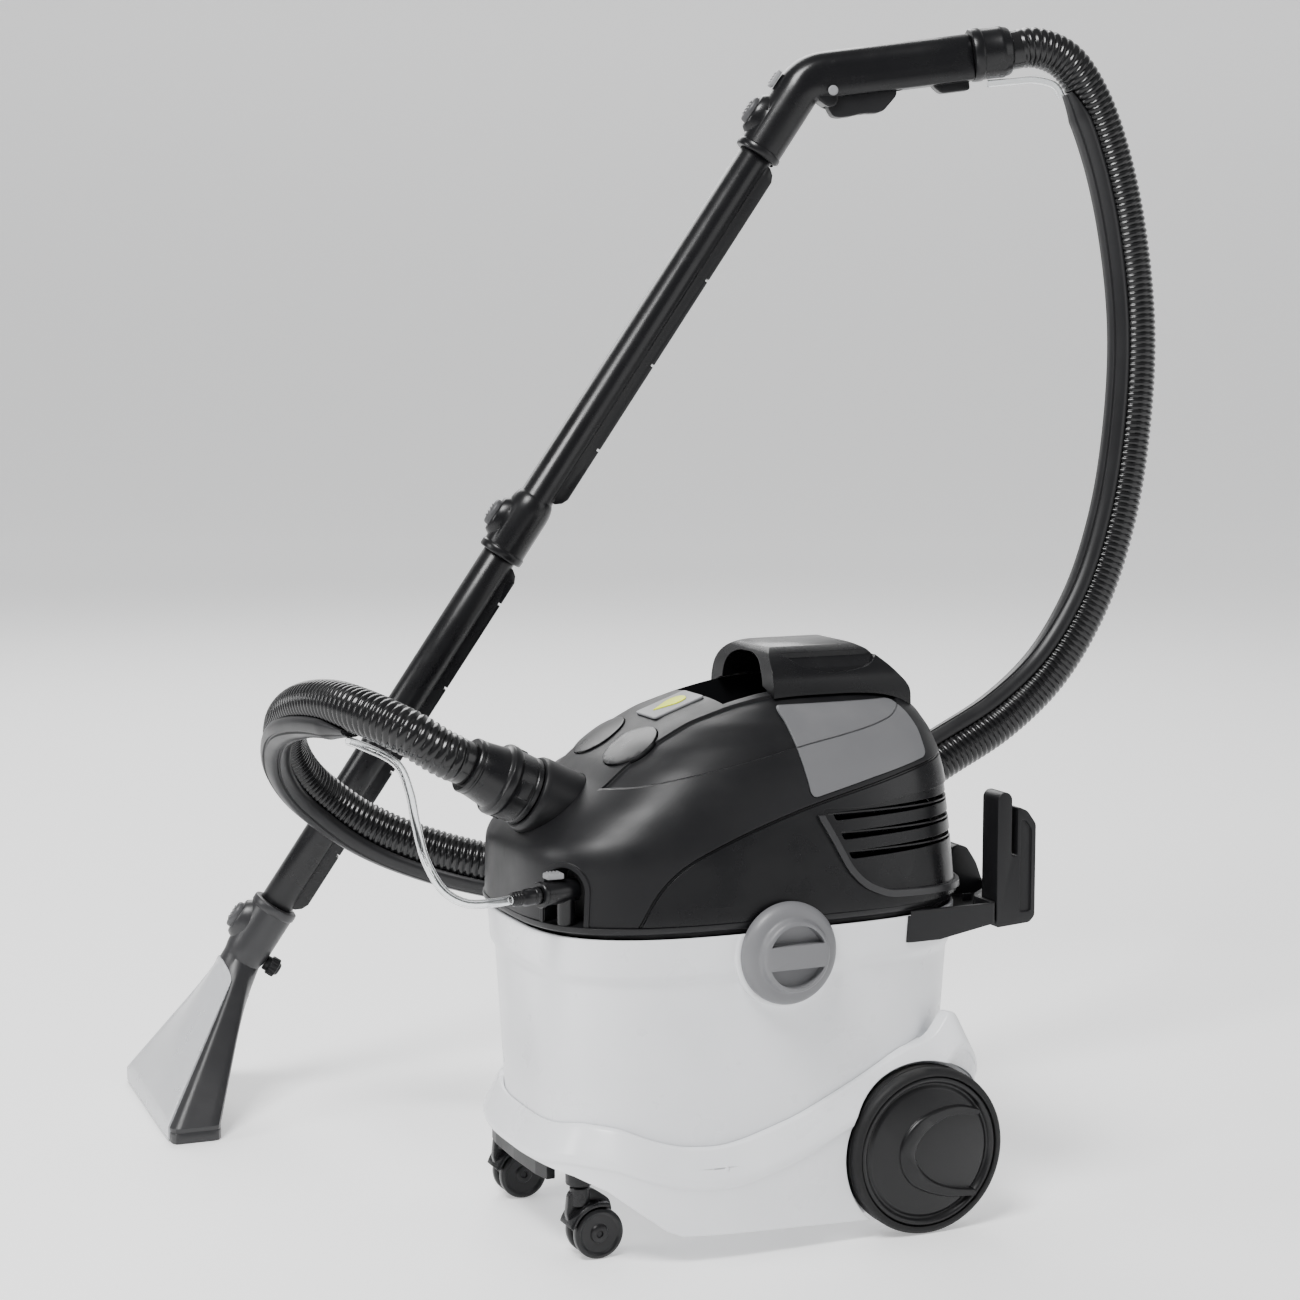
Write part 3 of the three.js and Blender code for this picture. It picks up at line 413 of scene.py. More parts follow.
def spaced(points, count=0, step=0.0, endpoint=True):
    """Points evenly along a polyline, by count or by step, and its length."""
    p = np.array(points, float)
    s = np.concatenate([[0], np.cumsum(np.linalg.norm(np.diff(p, axis=0), axis=1))])
    u = np.linspace(0, s[-1], count or max(3, int(s[-1] / step)), endpoint=endpoint)
    return np.stack([np.interp(u, s, p[:, i]) for i in range(p.shape[1])], 1), s[-1]


def eased(rows, step=3.0, rounds=3):
    """Rows put closer together, with their corners rounded a little."""
    out, _ = spaced(rows, step=step)
    for _ in range(rounds):
        out[1:-1] = (out[:-2] + 2 * out[1:-1] + out[2:]) / 4
    return out


def normals2d(ring):
    d = np.roll(ring, -1, 0) - np.roll(ring, 1, 0)
    n = np.stack([d[:, 1], -d[:, 0]], 1)
    return n / np.linalg.norm(n, axis=1)[:, None]


def offset(outline, d):
    """A closed outline grown by d (counter-clockwise ones grow outwards)."""
    p = np.array(outline, float)
    area = np.sum(p[:, 0] * np.roll(p[:, 1], -1) - np.roll(p[:, 0], -1) * p[:, 1])
    e0, e1 = p - np.roll(p, 1, 0), np.roll(p, -1, 0) - p
    n0, n1 = [np.stack([e[:, 1], -e[:, 0]], 1) / np.linalg.norm(e, axis=1)[:, None] for e in (e0, e1)]
    mid = n0 + n1
    mid /= np.linalg.norm(mid, axis=1)[:, None]
    reach = 1 / np.clip(np.sum(mid * n0, 1), 0.4, 1)
    return (p + mid * (d * reach * np.sign(area))[:, None]).tolist()


def rounded(outline, radius, steps=5):
    """A closed outline with its corners rounded."""
    p = np.array(outline, float)
    out = []
    for i in range(len(p)):
        a, b, c = p[i - 1], p[i], p[(i + 1) % len(p)]
        la, lc = np.linalg.norm(a - b), np.linalg.norm(c - b)
        r = min(radius, la * 0.45, lc * 0.45)
        s, e = b + (a - b) * r / la, b + (c - b) * r / lc
        for t in np.linspace(0, 1, steps):
            out.append(((1 - t) ** 2 * s + 2 * t * (1 - t) * b + t * t * e).tolist())
    return out


def smooth_line(points, count):
    """Points evenly along a centripetal Catmull-Rom curve, as the CAD route follows."""
    p = np.array(points, float)
    p = np.vstack([2 * p[0] - p[1], p, 2 * p[-1] - p[-2]])
    out = []
    for i in range(1, len(p) - 2):
        p0, p1, p2, p3 = p[i - 1:i + 3]
        t1 = np.linalg.norm(p1 - p0) ** 0.5
        t2 = t1 + np.linalg.norm(p2 - p1) ** 0.5
        t3 = t2 + np.linalg.norm(p3 - p2) ** 0.5
        for t in np.linspace(t1, t2, 24, endpoint=i == len(p) - 3):
            a1 = (t1 - t) / t1 * p0 + t / t1 * p1
            a2 = (t2 - t) / (t2 - t1) * p1 + (t - t1) / (t2 - t1) * p2
            a3 = (t3 - t) / (t3 - t2) * p2 + (t - t2) / (t3 - t2) * p3
            b1 = (t2 - t) / t2 * a1 + t / t2 * a2
            b2 = (t3 - t) / (t3 - t1) * a2 + (t - t1) / (t3 - t1) * a3
            out.append((t2 - t) / (t2 - t1) * b1 + (t - t1) / (t2 - t1) * b2)
    return spaced(out, count)


def curve(points, count):
    """The same for a flat line."""
    return smooth_line([(x, 0, z) for x, z in points], count)[0][:, [0, 2]]


def arched(half, top):
    """A line up one side, over the top and down the other; half is that side from its foot."""
    return [(-x, z) for x, z in half] + [(0, top)] + half[::-1]


def tangents(path):
    return np.array([unit(v) for v in np.gradient(path, axis=0)])


def sides_of(path, start):
    """Directions square to the path, carried along it without twist."""
    t = tangents(path)
    side = unit(np.array(start) - t[0] * (np.array(start) @ t[0]))
    out = [side]
    for tan in t[1:]:
        side = unit(side - tan * (side @ tan))
        out.append(side)
    return t, np.array(out)


# --- wand, grip and port frames
FLOOR_POINT = np.array((-367.8, 463.6, 0))
HEADING = unit((0.954, -0.3, 0))
PITCH, KICK, BEND = math.radians(57), math.radians(49.5), 1124
ALONG = HEADING * math.cos(PITCH) + np.array((0, 0, math.sin(PITCH)))
SIDE = np.array((-HEADING[1], HEADING[0], 0))
UNDER = np.cross(SIDE, ALONG)


def bent(angle):
    """The wand's underside direction after a turn by the angle at the bend."""
    return UNDER * math.cos(angle) - ALONG * math.sin(angle)


WAND = axes(UNDER, SIDE, ALONG, FLOOR_POINT)
GRIP_AXIS, GRIP_UNDER = UNDER * math.sin(KICK) + ALONG * math.cos(KICK), bent(KICK)
GRIP = axes(GRIP_UNDER, SIDE, GRIP_AXIS, FLOOR_POINT + ALONG * BEND)
TILT = math.radians(27)
PORT_AXIS = np.array((-math.cos(TILT), 0, math.sin(TILT)))
MOUTH = np.array((-172, -10, 352))
PORT = place(MOUTH, PORT_AXIS)
PLUG_AXIS = unit((-0.96, -0.28, 0))
PLUG_SEAT = np.array((-170, -79, 288))
PLUG = place(PLUG_SEAT, PLUG_AXIS)


def at_port(d):
    return MOUTH + PORT_AXIS * d


def at_plug(d):
    return PLUG_SEAT + PLUG_AXIS * d


def around(path, section):
    """Rings round a path: section(i) gives ring i's offsets to the side and up."""
    t, n = sides_of(path, Z)
    b = np.cross(t, n)
    return [[p + n[i] * u + b[i] * v for u, v in section(i)] for i, p in enumerate(path)]


def turns(count, start=0.0):
    return np.linspace(0, 2 * math.pi, count, endpoint=False) + start


def circle(r, angles):
    return np.stack([r * np.cos(angles), r * np.sin(angles)], 1)


# --- hose, carrier strip and spray lines
HOSE_START, LINE_START = 58.6, 53  # from the port's mouth and the plug's seat
HOSE_ROUTE = [at_port(HOSE_START), at_port(80), (-267, 1, 404), (-290, 35, 416), (-303, 85, 419),
              (-309, 145, 409), (-306, 200, 388), (-293, 243, 358), (-270, 268, 328), (-241, 276, 303),
              (-208, 269, 281), (-172, 251, 265), (-123, 224, 251), (-60, 201, 241), (10, 186, 237),
              (85, 176, 243), (160, 170, 258), (230, 169, 284), (300, 170, 321), (368, 175, 354),
              (425, 181, 397), (472, 187, 461), (502, 192, 535), (519, 196, 619), (525, 200, 713),
              (515, 204, 806), (496, 206, 878), (472, 207, 930), (447, 210, 960), at(GRIP, 0, 0, 214),
              at(GRIP, 0, 0, 190.6)]
STRIP_SIDES = [(0.06, (-0.2, -0.1, -1)), (0.13, (-0.5, 0.1, -0.9)), (0.22, (-0.3, -0.3, -0.9)),
               (0.34, (0, -0.1, -1)), (0.44, (0, 1, -0.2)), (0.54, (-0.4, 0.3, 0.9)), (0.68, (-1, 0, 0.3)),
               (0.86, (-1, 0, -0.3)), (0.955, (-0.2, 0, -1))]
RIB_PITCH, CREST, ROOT, PLAIN = 5.6, 18.4, 16.2, 17.6
STRIP_OUT = 25.2  # the strip's centreline from the hose's


def corrugated_hose():
    """Helical ribs with rounded crests and narrow grooves, smooth for a turn at both ends."""
    _, length = smooth_line(HOSE_ROUTE, 3)
    per_rib = 7
    path, _ = smooth_line(HOSE_ROUTE, int(length / RIB_PITCH * per_rib))
    s = np.linspace(0, length, len(path))
    angles = turns(26)

    def section(i):
        wave = np.abs(np.sin(math.pi * (s[i] / RIB_PITCH) - angles / 2))
        ribs = ROOT + (CREST - ROOT) * wave ** 0.55
        end = min(s[i], length - s[i])
        k = min(1, max(0, (end - 7) / 5))
        return circle(ribs * k + PLAIN * (1 - k), angles)

    return piece("corrugated_hose", loft(around(path, section)), "hose", "head", "hose", smooth=60), length


def carrier_path():
    """The hose's centreline along the strip, and the direction in which the strip lies from it."""
    path, _ = smooth_line(HOSE_ROUTE, 721)
    t = tangents(path)
    shares = np.linspace(STRIP_SIDES[0][0], STRIP_SIDES[-1][0], 330)
    keys = [k for k, _ in STRIP_SIDES]
    dirs = np.array([d for _, d in STRIP_SIDES], float)
    points, outs = [], []
    for share in shares:
        x = share * (len(path) - 1)
        i = int(x)
        p = path[i] + (path[min(i + 1, len(path) - 1)] - path[i]) * (x - i)
        d = np.array([np.interp(share, keys, dirs[:, k]) for k in range(3)])
        d = unit(d - t[i] * (d @ t[i]))
        points.append(p)
        outs.append(d)
    outs = np.array(outs)
    for _ in range(12):
        outs[1:-1] = (outs[:-2] + 2 * outs[1:-1] + outs[2:]) / 4
    return np.array(points), np.array([unit(d) for d in outs])


def carrier_strip():
    """A saddle of soft plastic that hugs the hose, with two grooves along its back."""
    centre, out = carrier_path()
    t = tangents(centre)
    across = np.cross(t, out)
    back = arched([(38, 20.3), (36, 22.4), (31, 24.6), (25, 26.4), (20, 27.6), (17, 28.1), (15, 26.9),
                   (13, 26.9), (11, 28.6), (5, 29.0)], 29.1)
    belly = [(a, 18.9) for a in (38, 28, 18, 9, 0, -9, -18, -28, -38)]
    section = [(r * math.cos(math.radians(a)), r * math.sin(math.radians(a))) for a, r in back + belly]
    rings = []
    for i in range(len(centre)):
        k = min(1.0, (i + 3) / 9, (len(centre) - 1 - i + 3) / 9)
        rings.append([centre[i] + out[i] * (18.9 + (u - 18.9) * k) + across[i] * v * (0.55 + 0.45 * k)
                      for u, v in section])
    strip = loft(rings)
    return piece("hose_carrier", strip, "strip", "head", "hose_strip", smooth=40), centre, out


def hollow_line(name, route, node, r=3.5, wall=0.9):
    path, length = smooth_line(route, max(24, int(spaced(route, 2)[1] / 5)))
    outer, inner = (around(path, lambda i: circle(q, turns(20))) for q in (r, r - wall))
    return piece(name, loft(outer + inner[::-1], close=True), "tube", "head", node, smooth=60), path, length


hose, hose_length = corrugated_hose()
strip, strip_centre, strip_out = carrier_strip()
strip_line = strip_centre + strip_out * STRIP_OUT
strip_back = strip_line[0] - unit(strip_line[1] - strip_line[0]) * 16
FRONT_LINE = [at_plug(LINE_START), at_plug(68), (-258, -100, 290), (-273, -96, 299), (-281, -79, 318),
              (-280, -53, 342), (-277, -29, 364), (-279, -8, 381), strip_back,
              strip_line[0] - unit(strip_line[1] - strip_line[0]) * 0.6]
rear_dir = unit(strip_line[-1] - strip_line[-2])
REAR_LINE = [strip_line[-1] + rear_dir * 0.6, strip_line[-1] + rear_dir * 12, at(GRIP, 29, 0, 210),
             at(GRIP, 28, 0, 192), at(GRIP, 27, 0, 166.7)]
front_line, front_path, front_length = hollow_line("spray_tube_front", FRONT_LINE, "spray_line_front")
rear_line, rear_path, rear_length = hollow_line("spray_tube_rear", REAR_LINE, "spray_line_rear")


# --- cuff, port and plug
cuff = lathe([(16, -18), (23.9, -18), (23.9, 3.2), (26.4, 3.6), (27.4, 4.6), (27.4, 8), (26.9, 8.6),
              (26.9, 9.6), (27.4, 10.2), (27.4, 22), (27.9, 23.4), (28.7, 24.4), (29, 26), (29, 29.6),
              (28.4, 31), (26.4, 32), (25.2, 33.2), (24.2, 38), (23.0, 46), (22.4, 50), (22.4, 52),
              (21.6, 52.6), (21.6, 54), (22.4, 54.6), (22.4, 57), (21.6, 58), (16, 58)], PORT, 96)
lugs = []
for a in (math.radians(30 + 120 * k) for k in range(3)):
    spin = axes((math.cos(a), math.sin(a), 0), (-math.sin(a), math.cos(a), 0), Z, (0, 0, 0))
    lugs.append(soften(block(26, 29.6, -7, 7, 11.5, 21, PORT @ spin), 1.2))
cuff_piece = piece("cuff", pack(cuff, *lugs), "satin", "cuff", "hose_cuff")
piece("port_ring", lathe([(24.5, -46), (31, -46), (31, -3), (30.6, 0.5), (29.4, 2.4), (27.8, 3), (26.4, 3),
                          (25.5, 2.4), (25.5, 1), (24.5, 0.4)], PORT, 96), "black", "head", "hose_port")

plug = lathe([(0, 26.4), (5.6, 26.4), (6.5, 27.2), (6.5, 31), (6, 31.6), (6, 32.6), (6.5, 33.2), (6.5, 39.4),
              (5.8, 41), (5.2, 42.4), (5.2, 50.4), (4.6, 52.4), (0, 52.4)], PLUG, 48)
ribs = [lathe([(4.6, d), (5.7, d + 0.4), (5.7, d + 1.4), (4.6, d + 1.8)], PLUG, 48) for d in (43.4, 46, 48.6)]
plug_piece = piece("spray_plug_body", pack(plug, *ribs), "satin", "head", "spray_plug")


# --- white tank
TANK_ROWS = [[78, -173, 168, 117], [110, -174, 169, 119.5], [214, -180, 175, 125],
             [217, -180.4, 175.4, 125.4], [224, -184, 178, 128.5], [228, -184.4, 178.6, 128.8],
             [253, -186, 181, 130]]
KNOB_X, KNOB_Z = -8, 236


def tank_row(z, grow=0.0):
    r = np.array(TANK_ROWS, float)
    return [z, *(np.interp(z, r[:, 0], r[:, i]) + g for i, g in ((1, -grow), (2, grow), (3, grow)))]


def tank():
    heights = [78, 90, 110, 140, 170, 200, 211, 213.5, 215.5, 217.5, 219.5, 221.5, 223.5, 225.5, 228, 235,
               243, 249]
    rim = ((251.4, -0.15), (252.5, -0.7), (253, -1.6), (253, -2.4), (252.2, -3.1))
    inner = [(z, -3.2) for z in (240, 224, 214, 150, 84)]
    shell = stack([tank_row(z) for z in heights] + [tank_row(*r) for r in (*rim, *inner)], count=48)
    for s in (-1, 1):
        boss = lathe([(0, -8), (43.4, -8), (43.4, -0.6), (42.4, 0), (41, 0.2), (0, 0.2)],
                     place((KNOB_X, s * 129.9, KNOB_Z), (0, s, 0)), 96)
        trim = block(-80, 80, -140, 140, 252.4, 300)
        liner = stack([tank_row(z, -1.6) for z in (120, 214, 224, 262)])
        pack(shell, cut(boss, trim, liner))
    return shell


piece("tank_shell", tank(), "white", "base", "outer_tank")

# --- white chassis
TOP_EDGE = [(-192, 98), (-176, 107), (-146, 105), (-120, 95), (-92, 88), (-60, 86), (-41, 89), (4, 102),
            (57, 126), (96, 145), (121, 151), (133, 155), (140, 170), (144, 177), (150, 176), (160, 162),
            (172, 146), (184, 118)]
LOW_EDGE = [(-260, -60), (-260, 72), (-186, 72), (-170, 69), (-150, 60), (-128, 43), (-108, 28), (-96, 23),
            (60, 16), (112, 16), (184, 100), (260, 188), (260, -60)]


def chassis():
    ring = plan(-189, 183, 139, count=72)
    rear = plan(-186, 180, 139, rear=7, count=72)
    quarter = len(ring) // 4
    ring = np.concatenate([rear[:quarter], ring[quarter:3 * quarter], rear[3 * quarter:]])
    n = normals2d(ring)
    keys = eased(TOP_EDGE, 2.0, 4)
    top = np.interp(ring[:, 0], keys[:, 0], keys[:, 1])
    for _ in range(6):
        top = (np.roll(top, 1) + 2 * top + np.roll(top, -1)) / 4
    section = [(24, 0.4), (14.2, 0), (13.2, 0.15), (12.5, 0.6), (11.9, 1.4), (9.2, 6), (6.2, 11), (3.2, 16),
               (0.9, 20), (0.25, 21.4), (0, 22.8), (0.05, 26.4), (0.4, 27.4), (1.2, 28.2), (1.6, 29.4),
               (2.0, 40)]
    rings = [[(x - n[j][0] * inset, y - n[j][1] * inset, top[j] - fall) for j, (x, y) in enumerate(ring)]
             for inset, fall in section]
    rings.append([(x - n[j][0] * 3.4, y - n[j][1] * 3.4, 4.0) for j, (x, y) in enumerate(ring)])
    body = loft(rings)
    seat = stack([[77.5] + tank_row(78, 0.5)[1:], *(tank_row(z, 0.5) for z in (110, 214, 224, 260))])
    front = both(stack([[-5, -184, 178, 134.5], [73.5, -184, 178, 134.5]]),
                 block(-200, 34, -140, 140, -9, 73.5))
    cut(body, seat, front, block(33.9, 176, -114, 114, -9, 73.5), through(LOW_EDGE, 200))
    for s in (-1, 1):
        cut(body, rod(70.5, (WHEEL_X, s * 119.5, WHEEL_Z), (WHEEL_X, s * 200, WHEEL_Z), 120),
            block(WHEEL_X, 220, *sorted((s * 119.5, s * 200)), -5, 108))
    cut(body, rod(4.3, (WHEEL_X, -160, WHEEL_Z), (WHEEL_X, 160, WHEEL_Z)))
    for s in (-1, 1):
        for x in (-60, -20, 20):
            rib = [(x - 1.2, 30), (x + 1.2, 30), (x + 1.2, 74), (x - 1.2, 74)]
            pack(body, prism(rib, *sorted((s * 113, s * 135)), "y"))
    return body


piece("chassis_shell", chassis(), "white", "base", "chassis", smooth=28)
for side, s in SIDES:
    cup = lathe([(5.3, 58), (9.4, 58), (10.6, 58.6), (11, 59.8), (11, 73.2), (5.3, 73.2)],
                place((-160, s * 80, 0), Z), 64)
    piece(f"caster_cup_{side}", cup, "black", "base")


# --- wheels
WHEEL_BACK_Y, WHEEL_FACE_Y = 120.5, 143.0


def relief(s):
    """The raised claw on the wheel's face, open to the rear."""
    outer = [(44, 30), (26, 35), (6, 33), (-12, 26), (-23, 14), (-27, 1), (-25, -12), (-17, -24), (-2, -33),
             (18, -39), (42, -41)]
    inner = [(43, 25), (26, 27), (10, 24), (-3, 16), (-11, 6), (-12, -4), (-7, -14), (4, -24), (20, -31),
             (41, -35)]
    o, i = curve(outer, 40), curve(inner, 40)
    y0 = s * WHEEL_FACE_Y
    rings = []
    for lift, squeeze in ((-3.5, 0.0), (-0.4, 0.0), (1.2, 0.05), (2.4, 0.16), (3.0, 0.3)):
        line = [(a + (b - a) * squeeze * 0.5) for a, b in zip(o, i)]
        back = [(b + (a - b) * squeeze * 0.5) for a, b in zip(o, i)]
        rings.append([(WHEEL_X + p[0], y0 + s * lift, WHEEL_Z + p[1]) for p in line + back[::-1]])
    return loft(rings)


for side, s in SIDES:
    centre = (WHEEL_X, s * WHEEL_BACK_Y, WHEEL_Z)
    hub = place(centre, (0, s, 0), (1, 0, 0))
    disc = lathe([(4.3, 0), (13, 0), (14, 1), (14, 5), (51, 5), (52, 4), (52, 1.6), (52.6, 1), (60.5, 1),
                  (60.5, 21), (60, 22.4), (58.8, 23.4), (57.4, 23.6), (56.2, 23), (55.4, 21.8), (54.6, 20.6),
                  (53.4, 20.2), (52.2, 20.8), (51.2, 21.8), (49.8, 22.4), (0, 22.9), (0, 19.5), (4.3, 19.5)],
                 hub, 128)
    spokes = [block(13, 52, -1.2, 1.2, 4, 16, place(centre, (0, s, 0), (math.cos(a), 0, math.sin(a))))
              for a in np.arange(8) * math.pi / 4]
    piece(f"wheel_disc_{side}", pack(disc, relief(s), *spokes), "wheel", f"wheel_{side}_body",
          f"wheel_{side}", smooth=35)
    tread = lathe([(60.8, 1), (63.6, 1), (65.4, 1.8), (66.4, 3.4), (67, 5.4), (67, 8.4), (66.3, 8.8),
                   (66.3, 9.8), (67, 10.2), (67, 14.4), (66.3, 14.8), (66.3, 15.8), (67, 16.2), (67, 19.6),
                   (66.5, 21.6), (65.4, 23.2), (63.8, 24.2), (62, 24.5), (60.8, 24.1)], hub, 128)
    piece(f"wheel_tyre_{side}", tread, "rubber", f"wheel_{side}_body", f"tyre_{side}", smooth=35)

# --- casters
WEB = rounded([(-172, 34), (-170, 52), (-162, 56), (-150, 54), (-136, 44), (-134, 34), (-140, 30), (-140, 15),
               (-152, 13), (-166, 20)], 4)
for side, s in SIDES:
    y = s * 80
    hub = (-148, y, 20)
    web = soften(prism(WEB, y - 3.2, y + 3.2, "y"), 0.8)
    stem = lathe([(0, 42), (8, 42), (8, 55.5), (7.2, 56.6), (5, 57), (5, 73.6), (4.2, 74.5), (0, 74.5)],
                 place((-160, y, 0), Z))
    hood = lathe([(21.5, -12), (22, -12.6), (23.6, -12.6), (24.8, -11.6), (25, -10), (25, 10), (24.8, 11.6),
                  (23.6, 12.6), (22, 12.6), (21.5, 12)], place(hub, (0, 1, 0)), 96)
    cut(hood, block(-200, -100, y - 20, y + 20, -20, 27), block(-140, -100, y - 20, y + 20, -20, 60))
    piece(f"caster_hood_{side}", pack(web, stem, hood), "satin", f"caster_{side}", f"caster_fork_{side}")
    half = [(5, 0), (5, 3.6), (17.6, 3.6), (18.6, 4), (19.6, 5), (20, 6.4), (20, 9.6), (19.6, 11),
            (18.6, 11.9), (17, 12.2), (15.6, 11.6), (14.8, 10.8), (7.4, 10.2), (6.8, 11.4), (5.6, 12),
            (2.8, 12)]
    twin = [(r, -z) for r, z in reversed(half)] + half[1:]
    piece(f"caster_twin_{side}", lathe(twin, place(hub, (0, 1, 0)), 96), "wheel", f"caster_{side}_wheels",
          f"caster_wheels_{side}")

# --- locking knobs
BAR_HALF = 8.2
DISH = ((11.6, 0.9), (12.2, 0.955), (14, 0.985), (19.5, 1.0), (24, 1.01))  # height, share of the outline
for side, s in SIDES:
    m = place((KNOB_X, s * 130.5, KNOB_Z), (0, s, 0), (1, 0, 0))
    body = lathe([(0, 0), (39.4, 0), (40, 0.6), (40, 4), (39.6, 5.6), (38.4, 7.6), (36.6, 9.4), (34, 10.8),
                  (31, 11.6), (30, 12), (29.2, 12.8), (28.6, 14), (28, 16.6), (27.6, 17.8), (26.6, 18.8),
                  (25, 19.4), (0, 19.5)], m, 128)
    for k in (-1, 1):
        a = np.linspace(math.radians(22), math.radians(158), 40)
        arc = [(24.4 * math.cos(t), 24.4 * math.sin(t)) for t in a]
        low = [(x, max(yy, BAR_HALF)) for x, yy in arc]
        dish = [[(x * f, (BAR_HALF + (yy - BAR_HALF) * f) * k, z) for x, yy in low] for z, f in DISH]
        cut(body, loft(dish, m))
    cut(body, rod(6.3, (KNOB_X, s * 125, KNOB_Z), (KNOB_X, s * 138, KNOB_Z)))
    piece(f"knob_{side}", body, "knob", f"knob_{side}", f"lock_knob_{side}", smooth=35)


# --- motor head
HEAD_ROWS = [[236, -190, 182, 128.5], [262, -190, 181.5, 128.2], [312, -190, 178, 122],
             [322, -184, 177, 120.5], [345, -155, 174, 116.5], [362, -131, 171, 112], [376, -115, 168, 106],
             [392, -92, 162, 97], [407, -65, 153, 84], [418, -34, 142, 68], [429, 2, 124, 46],
             [436, 30, 100, 24], [438, 44, 86, 10]]


def head_skin(grow):
    """The head's outer surface moved out by grow along its own normals."""
    rows = eased(HEAD_ROWS, 4.0, 3)
    rings = np.array([[(x, y, r[0]) for x, y in plan(r[1], r[2], r[3], front=3.1, rear=3.6, count=40)]
                      for r in rows])
    if grow:
        along = np.gradient(rings, axis=0)
        round_ = np.roll(rings, -1, 1) - np.roll(rings, 1, 1)
        n = np.cross(round_, along)
        n /= np.linalg.norm(n, axis=2)[..., None] + 1e-12
        n[0] = n[1]
        rings = rings + n * grow
        rings[0, :, 2] = rows[0][0] - 2
    return loft([r.tolist() for r in rings])


SEAM = [(-132, 250), (-125, 262), (-109, 288), (-90, 305), (-61, 319), (-19, 334), (23, 346), (76, 358),
        (129, 369), (240, 384)]
CREASE = [(-152, 356), (-115, 362), (-79, 370), (-24, 381), (22, 390), (60, 396), (92, 402), (112, 408),
          (126, 418), (132, 440)]
seam_line = curve(SEAM, 80)


def band(line, width):
    """A strip of the side view, centred on a line."""
    t = np.gradient(line, axis=0)
    t /= np.linalg.norm(t, axis=1)[:, None]
    n = np.stack([-t[:, 1], t[:, 0]], 1) * width / 2
    return np.concatenate([line - n, (line + n)[::-1]]).tolist()


crease_line = curve(CREASE, 60)
above_crease = np.concatenate([crease_line, [(132, 500), (-152, 500)]]).tolist()


def behind_seam(dz=0.0):
    return through(np.concatenate([seam_line + (0, dz), [(300, 250), (-100, 100)]]).tolist())


PANEL = rounded([(12, 418), (14.5, 397), (21, 351), (76, 363.5), (133.5, 375), (131, 398), (124, 411),
                 (117, 418)], 6, 6)
POCKET = rounded([(-36, 480), (-26, 424), (-15, 404), (66, 404), (80, 418), (80, 480)], 9, 7)
LOUVRE = rounded([(27, 343), (40, 320), (52, 297), (65, 284), (84, 276), (230, 268), (230, 354), (120, 348),
                  (60, 341)], 8, 6)
POCKET_HALF, PORT_SEAT = 46, 36
LOUVRE_Z, LOUVRE_PITCH = 302, 15.2
# height, rear end and half width of a louvre blade's section
BLADE = ((6.5, 175.5, 119), (5.2, 175.5, 119), (-1.5, 164, 108), (-0.2, 164, 108))
ARCH_AXIS, ARCH_R = unit((-0.86, -0.51, 0)), 18


def arch_tool(grow, back=-24, front=44):
    m = place(PLUG_SEAT, ARCH_AXIS, np.cross((0, 0, 1), ARCH_AXIS))
    a = np.linspace(0, math.pi, 33)
    side = 1 if m[2, 1] > 0 else -1
    r = ARCH_R + grow
    points = [(r * math.cos(t), side * r * math.sin(t)) for t in a] + [(-r, -side * 40), (r, -side * 40)]
    return prism(points, back - grow, front, "z", m)


def shell_layer(outer, inner):
    return cut(head_skin(outer), head_skin(inner))


def head_shells():
    skin, inner = head_skin(0), head_skin(-3.4)
    shell = cut(copy(skin), inner)
    fuse(shell, both(through(offset(POCKET, 3), POCKET_HALF + 3), skin, keep=True))
    fuse(shell, both(arch_tool(3), skin, keep=True))
    cut(shell, through(POCKET, POCKET_HALF), arch_tool(0), block(-300, 300, -300, 300, 200, 262.3))
    cut(shell, lathe([(0, -60), (31.3, -60), (31.3, -1), (PORT_SEAT, 1), (PORT_SEAT, 40), (0, 40)], PORT, 96))
    drop(skin)
    front = cut(copy(shell), behind_seam(0.4))
    rear = both(shell, behind_seam())
    for s in (-1, 1):
        cut(front, lathe(SWITCH_SHAFT, place(switch_centre(s), SWITCH_AXIS), 96))
    groove = both(through(band(seam_line, 2.6)), shell_layer(3, -1.6))
    cut(front, copy(groove))
    cut(rear, groove)
    step = both(through(above_crease), shell_layer(4, -2.1))
    cut(step, block(-300, 300, -52, 52, 300, 500), lathe([(0, -60), (46, -60), (46, 60), (0, 60)], PORT, 96))
    cut(front, step)
    return front, rear


SWITCH_AXIS = unit((-0.57, 0, 0.82))
SWITCH_SHAFT = [(0, -30), (24.5, -30), (24.5, 30), (0, 30)]


def switch_centre(s):
    return np.array((-97, s * 31, 389))


def panel_layer(grow, outer, inner):
    """Skin between two depths inside the grey panel's outline, both sides."""
    return both(through(offset(PANEL, grow)), shell_layer(outer, inner))


